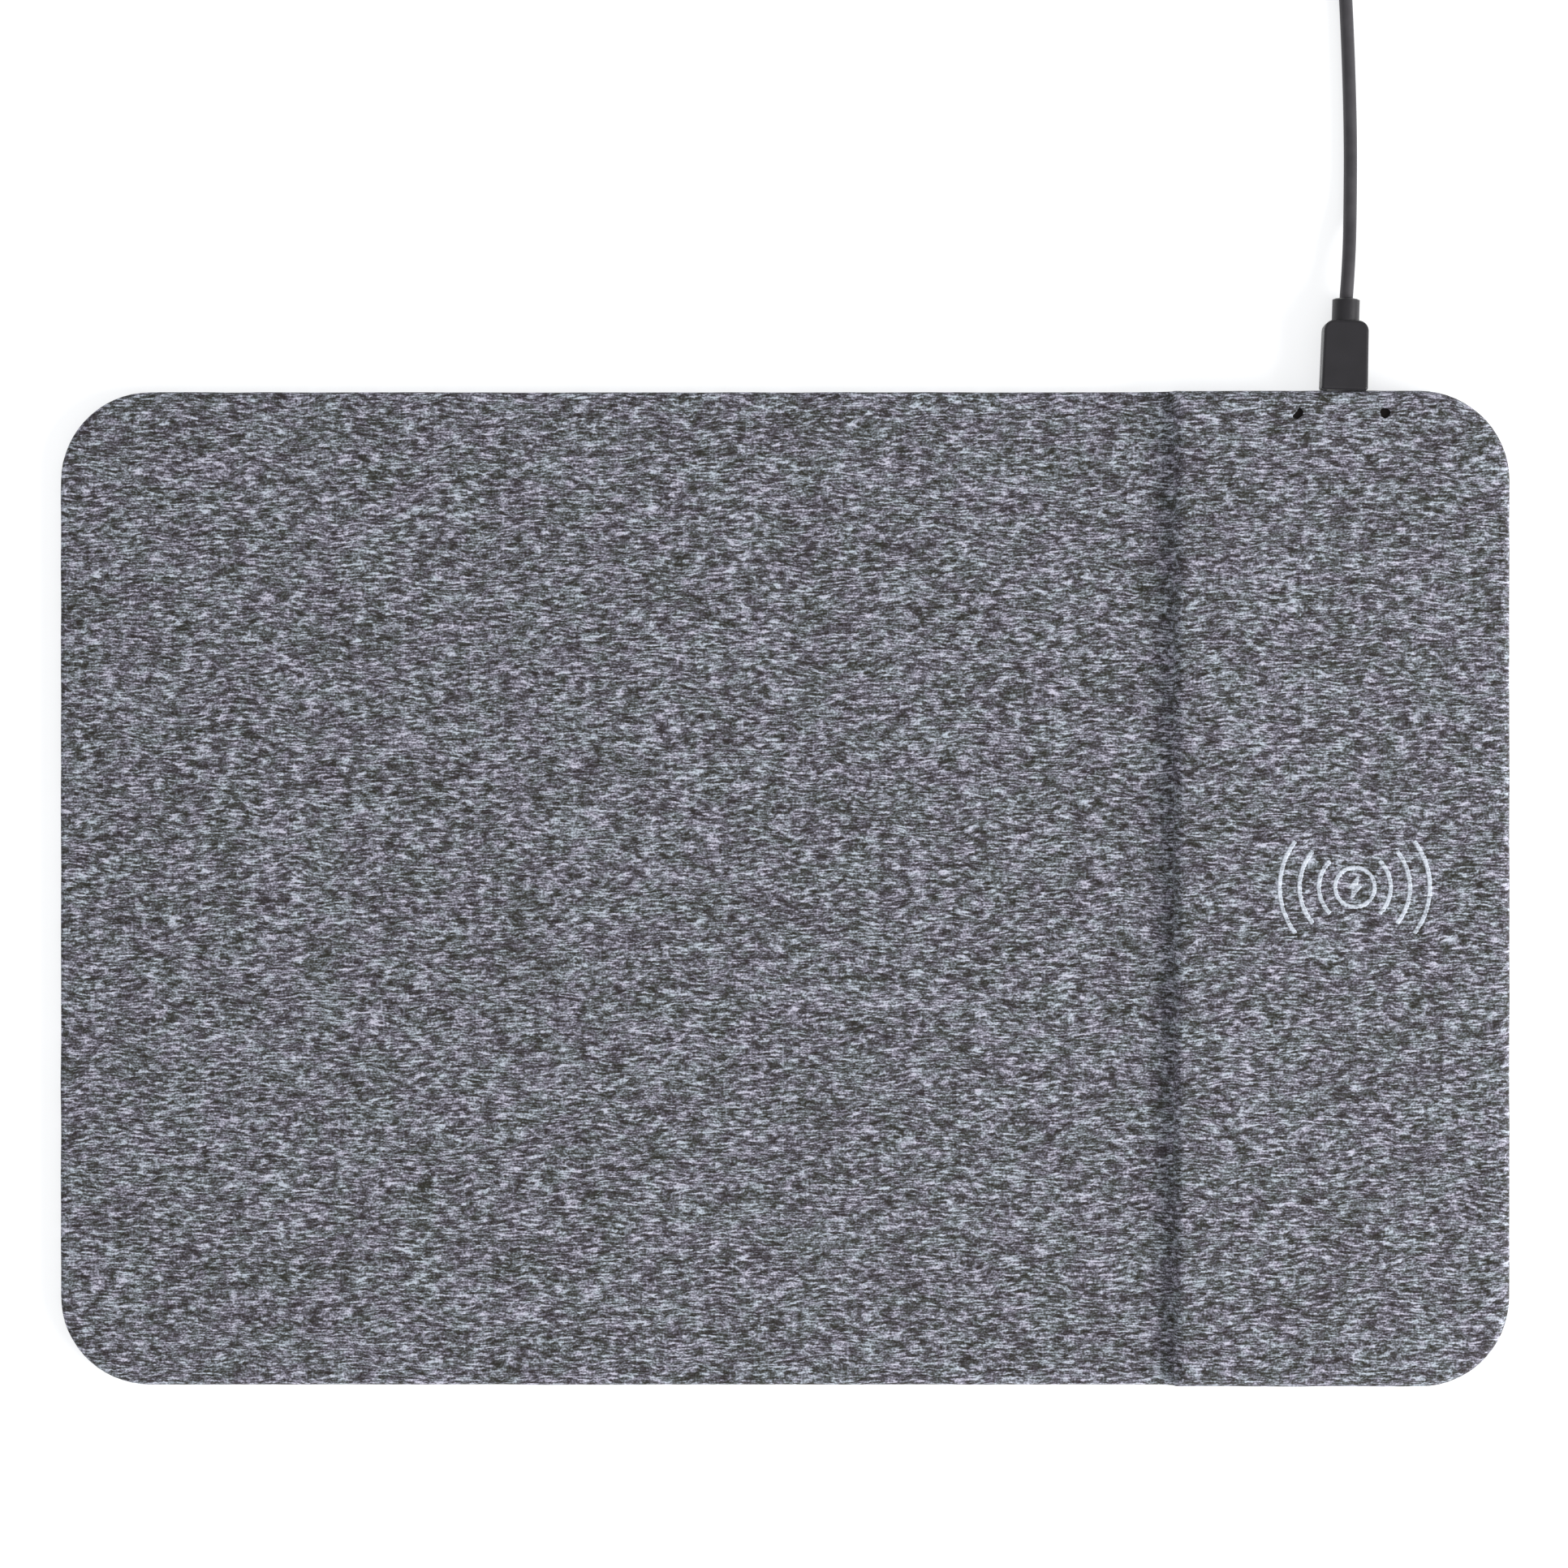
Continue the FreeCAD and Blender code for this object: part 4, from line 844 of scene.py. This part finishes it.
def ink_band(skin, radius, start, sweep, stroke):
    """A stroke of ink round the symbol's middle, its edges frayed."""
    steps = max(8, round(radius * sweep / INK_STEP))
    whole = sweep > math.tau - 0.01
    rows = []
    for share in (-1.0, -0.45, 0.0, 0.45, 1.0):
        row = []
        for i in range(steps if whole else steps + 1):
            a = start + sweep * i / steps
            trim = 0.0
            if not whole and i in (0, steps):
                trim = 0.12 * MM * abs(share) ** 3
            middle = Vector((SYMBOL_X + radius * math.cos(a), SYMBOL_Y + radius * math.sin(a)))
            fringe = share * fray(middle.x, middle.y, 31.0 + share) if abs(share) == 1.0 else 0.0
            reach = radius + share * (stroke / 2 - trim) + fringe
            row.append((SYMBOL_X + reach * math.cos(a), SYMBOL_Y + reach * math.sin(a)))
        rows.append(row)
    add_ink(skin, np.array(rows), whole)


def add_ink(skin, places, closed=False):
    x, y = places[..., 0], places[..., 1]
    height = cloth_height(x, y)
    points = np.stack([x, y, height + INK_DEPTH * 0.6], axis=-1)
    skin.grid(points, np.stack([x + climb(height), y], axis=-1), closed=closed)


def bolt_rows():
    """The bolt as rows of ink across it, from tip to tip."""
    half = [Vector(p) * MM for p in BOLT_HALF]
    outline = half + [-p for p in half]
    rows = []
    for i in range(BOLT_ROWS + 1):
        y = half[0].y * (1.0 - 2.0 * i / BOLT_ROWS) * BOLT_TIP_SHARE
        crossings = []
        for a, b in zip(outline, outline[1:] + outline[:1]):
            if (a.y - y) * (b.y - y) <= 0 and abs(a.y - b.y) > 1e-9:
                crossings.append(a.x + (b.x - a.x) * (y - a.y) / (b.y - a.y))
        left, right = min(crossings), max(crossings)
        left -= fray(left, y, 51.0) * 0.7
        right += fray(right, y, 52.0) * 0.7
        rows.append([(SYMBOL_X + left + (right - left) * k / 4, SYMBOL_Y + y) for k in range(5)])
    return np.array(rows)[::-1]


def make_symbol(material):
    skin = Skin()
    ink_band(skin, RING_RADIUS, 0.0, math.tau, RING_STROKE)
    for radius, half_angle in WAVES:
        sweep = math.radians(2 * half_angle)
        for middle in (0.0, math.pi):
            ink_band(skin, radius, middle - sweep / 2, sweep, WAVE_STROKE)
    add_ink(skin, bolt_rows())
    symbol = skin.build("symbol_print_ink", material)
    work = bmesh.new()
    work.from_mesh(symbol.data)
    bmesh.ops.recalc_face_normals(work, faces=work.faces)
    if sum(f.normal.z * f.calc_area() for f in work.faces) < 0:
        bmesh.ops.reverse_faces(work, faces=work.faces)
    for face in work.faces:
        if face.normal.z < 0:
            face.normal_flip()
    work.to_mesh(symbol.data)
    work.free()
    solid = symbol.modifiers.new("thickness", "SOLIDIFY")
    solid.thickness = INK_DEPTH
    solid.offset = -1.0
    apply_modifiers(symbol)
    return symbol


# ---------------------------------------------------------------- twist tie round the coil
def tube(path, radius):
    """Points and faces of a closed tube along a list of points, with capped ends."""
    points, faces, sides = [], [], TUBE_SIDES
    path = [Vector(p) for p in path]
    up = Vector((0.13, 0.21, 0.97))
    for i, place in enumerate(path):
        ahead = (path[min(i + 1, len(path) - 1)] - path[max(i - 1, 0)]).normalized()
        side = ahead.cross(up).normalized()
        lift = side.cross(ahead).normalized()
        for k in range(sides):
            a = math.tau * k / sides
            points.append(place + radius * (math.cos(a) * side + math.sin(a) * lift))
    for i in range(len(path) - 1):
        for k in range(sides):
            n = (k + 1) % sides
            faces.append((i * sides + k, i * sides + n, (i + 1) * sides + n, (i + 1) * sides + k))
    faces.append(tuple(range(sides))[::-1])
    faces.append(tuple(range((len(path) - 1) * sides, len(path) * sides)))
    return points, faces


def make_tie(material):
    """A flat twist tie: a band round the coil's turns and two ends wound round each other on top."""
    low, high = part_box("cord_coil")
    x_middle = (COIL_CENTRE[0] - (COIL_OUTER_TURN + COIL_INNER_TURN) / 2) * MM
    y_middle = COIL_CENTRE[1] * MM
    half = (COIL_OUTER_TURN - COIL_INNER_TURN) / 2 * MM + CORD_DIAMETER / 2 + TIE_GAP
    bottom, top = low.z - TIE_SINK, high.z + TIE_GAP
    corner = CORD_DIAMETER / 2 + 0.2 * MM
    loop = []
    for cx, cz, start in ((half - corner, top - corner, 0), (corner - half, top - corner, 90),
                          (corner - half, bottom + corner, 180), (half - corner, bottom + corner, 270)):
        loop.extend((x_middle + cx + corner * math.cos(math.radians(start + 90 * i / 7)),
                     cz + corner * math.sin(math.radians(start + 90 * i / 7))) for i in range(8))
    middle = Vector((x_middle, (bottom + top) / 2))
    width = (-1.9, -1.75, -0.45, 0.0, 0.45, 1.75, 1.9)
    proud = (0.0, 0.20, 0.20, 0.42, 0.20, 0.20, 0.0)
    points, faces = [], []
    section = [(w, p) for w, p in zip(width, proud)] + [(w, -0.06) for w in width[::-1]]
    for x, z in loop:
        out = (Vector((x, z)) - middle)
        out = Vector((out.x / half, out.y / ((top - bottom) / 2))).normalized()
        for w, p in section:
            points.append((x + out.x * p * MM, y_middle + w * MM, z + out.y * p * MM))
    n = len(section)
    for i in range(len(loop)):
        j = (i + 1) % len(loop)
        for k in range(n):
            m = (k + 1) % n
            faces.append((i * n + k, i * n + m, j * n + m, j * n + k))
    foot = Vector((x_middle, y_middle - 1.0 * MM, top + 0.55 * MM))
    along = Vector((0.25, 1.0, 0.0)).normalized()
    side = Vector((along.y, -along.x, 0.0))
    for phase in (0.0, math.pi):
        path = []
        for i in range(TWIST_POINTS):
            share = i / (TWIST_POINTS - 1)
            a = phase + math.tau * TWIST_TURNS * share
            reach = TWIST_RADIUS * (1.0 + 0.9 * max(0.0, share - 0.86) / 0.14)
            outward = math.cos(a) * side + math.sin(a) * Vector((0, 0, 1))
            path.append(foot + along * share * TWIST_LENGTH + reach * outward)
        more_points, more_faces = tube(path, WIRE_RADIUS)
        base = len(points)
        points.extend(more_points)
        faces.extend(tuple(base + v for v in face) for face in more_faces)
    tie = mesh_object("cord_twist_tie", points, faces, material)
    work = bmesh.new()
    work.from_mesh(tie.data)
    bmesh.ops.recalc_face_normals(work, faces=work.faces)
    work.to_mesh(tie.data)
    work.free()
    smooth_shade(tie)
    return tie


# ---------------------------------------------------------------- lead
def coil_points():
    """Two layers of turns, wound inward below and outward on top, starting at the coil's right."""
    lower_turns = (COIL_OUTER_TURN - COIL_INNER_TURN) / 2.8 + 1
    points = []
    total = int(round(COIL_TURNS * POINTS_PER_TURN))
    for index in range(1, total):
        turn = index / POINTS_PER_TURN
        angle = math.tau * turn
        if turn < lower_turns:
            share = min(1.0, max(0.0, turn / (lower_turns - 1)))
            radius = COIL_OUTER_TURN + (COIL_INNER_TURN - COIL_OUTER_TURN) * share
        else:
            share = min(1.0, (turn - lower_turns) / (lower_turns - 1))
            radius = COIL_INNER_TURN + (COIL_OUTER_TURN - COIL_INNER_TURN) * share
        climb = min(1.0, max(0.0, (turn - lower_turns + 0.5) / 1.0))
        z = COIL_LAYER_Z[0] + (COIL_LAYER_Z[1] - COIL_LAYER_Z[0]) * climb
        points.append((
            COIL_CENTRE[0] + radius * math.cos(angle),
            COIL_CENTRE[1] + radius * math.sin(angle),
            z,
        ))
    return points


def make_cord():
    route = LEAD_IN_ROUTE + coil_points() + TAIL_ROUTE
    curve = bpy.data.curves.new("usb_cord", "CURVE")
    curve.dimensions = "3D"
    spline = curve.splines.new("NURBS")
    spline.points.add(len(route) - 1)
    for point, place in zip(spline.points, route):
        point.co = (*(c * MM for c in place), 1.0)
    spline.order_u = 3
    spline.use_endpoint_u = True
    curve.resolution_u = 6
    curve.bevel_depth = CORD_DIAMETER / 2
    curve.bevel_resolution = 6
    curve.use_fill_caps = True
    curve.materials.append(cord_jacket())
    cord = bpy.data.objects.new("usb_cord", curve)
    bpy.context.scene.collection.objects.link(cord)
    return cord


def dress(material, *names):
    """Gives carried-over CAD nodes their node material."""
    for name in names:
        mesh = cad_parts[name].data
        mesh.materials.clear()
        mesh.materials.append(material)
        mesh.polygons.foreach_set("material_index", [0] * len(mesh.polygons))


def stand_in(piece, body, slot, *nodes):
    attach(piece, body)
    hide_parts(*nodes)
    return piece


make_camera()
make_light()

cord = stand_in(make_cord(), "cable", "cord_jacket", "cord_tube", "cord_coil", "cord_tail")
tie = make_tie(moulded("tie_pvc", (0.02, 0.02, 0.021), rough=0.45))
stand_in(tie, "cable", "tie_plastic", "cord_tie")

cloth = stand_in(make_cloth(melange_cloth()), "pad", "cloth", "fabric_cover")
stand_in(make_symbol(symbol_ink()), "pad", "symbol_ink", "charge_symbol_print")

base_low, base_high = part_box("base_sheet")
base_corner = CORNER_RADIUS - (HALF_WIDTH - base_high.x)
base = slab("anti_slip_base", base_low, base_high, (base_corner, base_corner), 3.0 * MM, 0.12 * MM,
            anti_slip_relief, anti_slip_rubber())
stand_in(base, "pad", "rubber_sheet", "base_sheet")

foam_low, foam_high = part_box("foam_mat")
foam_low.z += 0.03 * MM
foam_look = speckled("closed_cell_foam", (0.05, 0.05, 0.052), (0.02, 0.02, 0.021), rough=0.9, size=0.5 * MM)
foam = slab("foam_layer", foam_low, foam_high, (CORNER_RADIUS - CLOTH, 1.0 * MM), 5.0 * MM, 0.25 * MM,
            foam_relief, foam_look)
stand_in(foam, "pad", "foam", "foam_mat")

dress(moulded("charcoal_pvc", (0.015, 0.0132, 0.0165), rough=0.42, grain=0.14 * MM, depth=0.03 * MM,
              Sheen_Weight=0.15, Sheen_Roughness=0.35),
      "plug_overmold", "plug_collar", "usb_a_overmold", "usb_a_strain_relief")
dress(moulded("black_nylon", (0.02, 0.02, 0.021), rough=0.45), "plug_insert", "usb_socket_insert")
dress(moulded("white_nylon", (0.72, 0.72, 0.69), rough=0.45), "usb_a_insert")
dress(metal("nickel_plate", (0.72, 0.71, 0.69), rough=0.26), "plug_shell", "usb_socket_shell", "usb_a_shell")
dress(metal("gold_flash", (0.85, 0.62, 0.25), rough=0.25),
      "plug_contacts", "usb_socket_contacts", "usb_a_contacts")
dress(metal("zinc_steel", (0.30, 0.30, 0.32), rough=0.38, along=(0.4 * MM,) * 3),
      "module_screws", "pcb_screws")
dress(moulded("black_abs", (0.033, 0.033, 0.036), rough=0.5), "module_tray", "module_lid")
dress(moulded("black_board", (0.028, 0.028, 0.030), rough=0.55, cloud=20 * MM), "base_board")
# Light pipes in near-black: a dark tint of their own, and painted shade for the bottom of the LED holes.
dress(moulded("dark_pipe_and_painted_hole_shade", (0.008, 0.006, 0.006), rough=0.4, depth=0.005 * MM,
              Specular_IOR_Level=0.1),
      "light_pipes")
dress(film(), "adhesive_sheet", "coil_tape")
dress(speckled("ferrite", (0.06, 0.06, 0.066), (0.03, 0.03, 0.034), rough=0.6, size=0.3 * MM),
      "ferrite_plate")
dress(wound_copper(), "transmit_coil")
dress(moulded("red_sleeve", (0.42, 0.045, 0.035), rough=0.4), "coil_leads")
dress(solder_mask(), "main_pcb")
dress(moulded("chip_compound", (0.018, 0.018, 0.019), rough=0.55, grain=0.06 * MM), "controller_ic",
      "power_stage_ics", "resistors")
dress(speckled("inductor_ferrite", (0.09, 0.088, 0.09), (0.05, 0.05, 0.052), rough=0.55, size=0.25 * MM),
      "power_inductor")
dress(speckled("tan_ceramic", (0.42, 0.27, 0.15), (0.32, 0.2, 0.11), rough=0.4, size=0.12 * MM),
      "resonant_capacitors", "ceramic_capacitors")
dress(moulded("led_lens", (0.80, 0.74, 0.45), rough=0.2, Coat_Weight=0.6), "status_leds")

floor = mesh_object("floor", [(-6, -6, 0), (6, -6, 0), (6, 6, 0), (-6, 6, 0)], [(0, 1, 2, 3)], floor_paper())
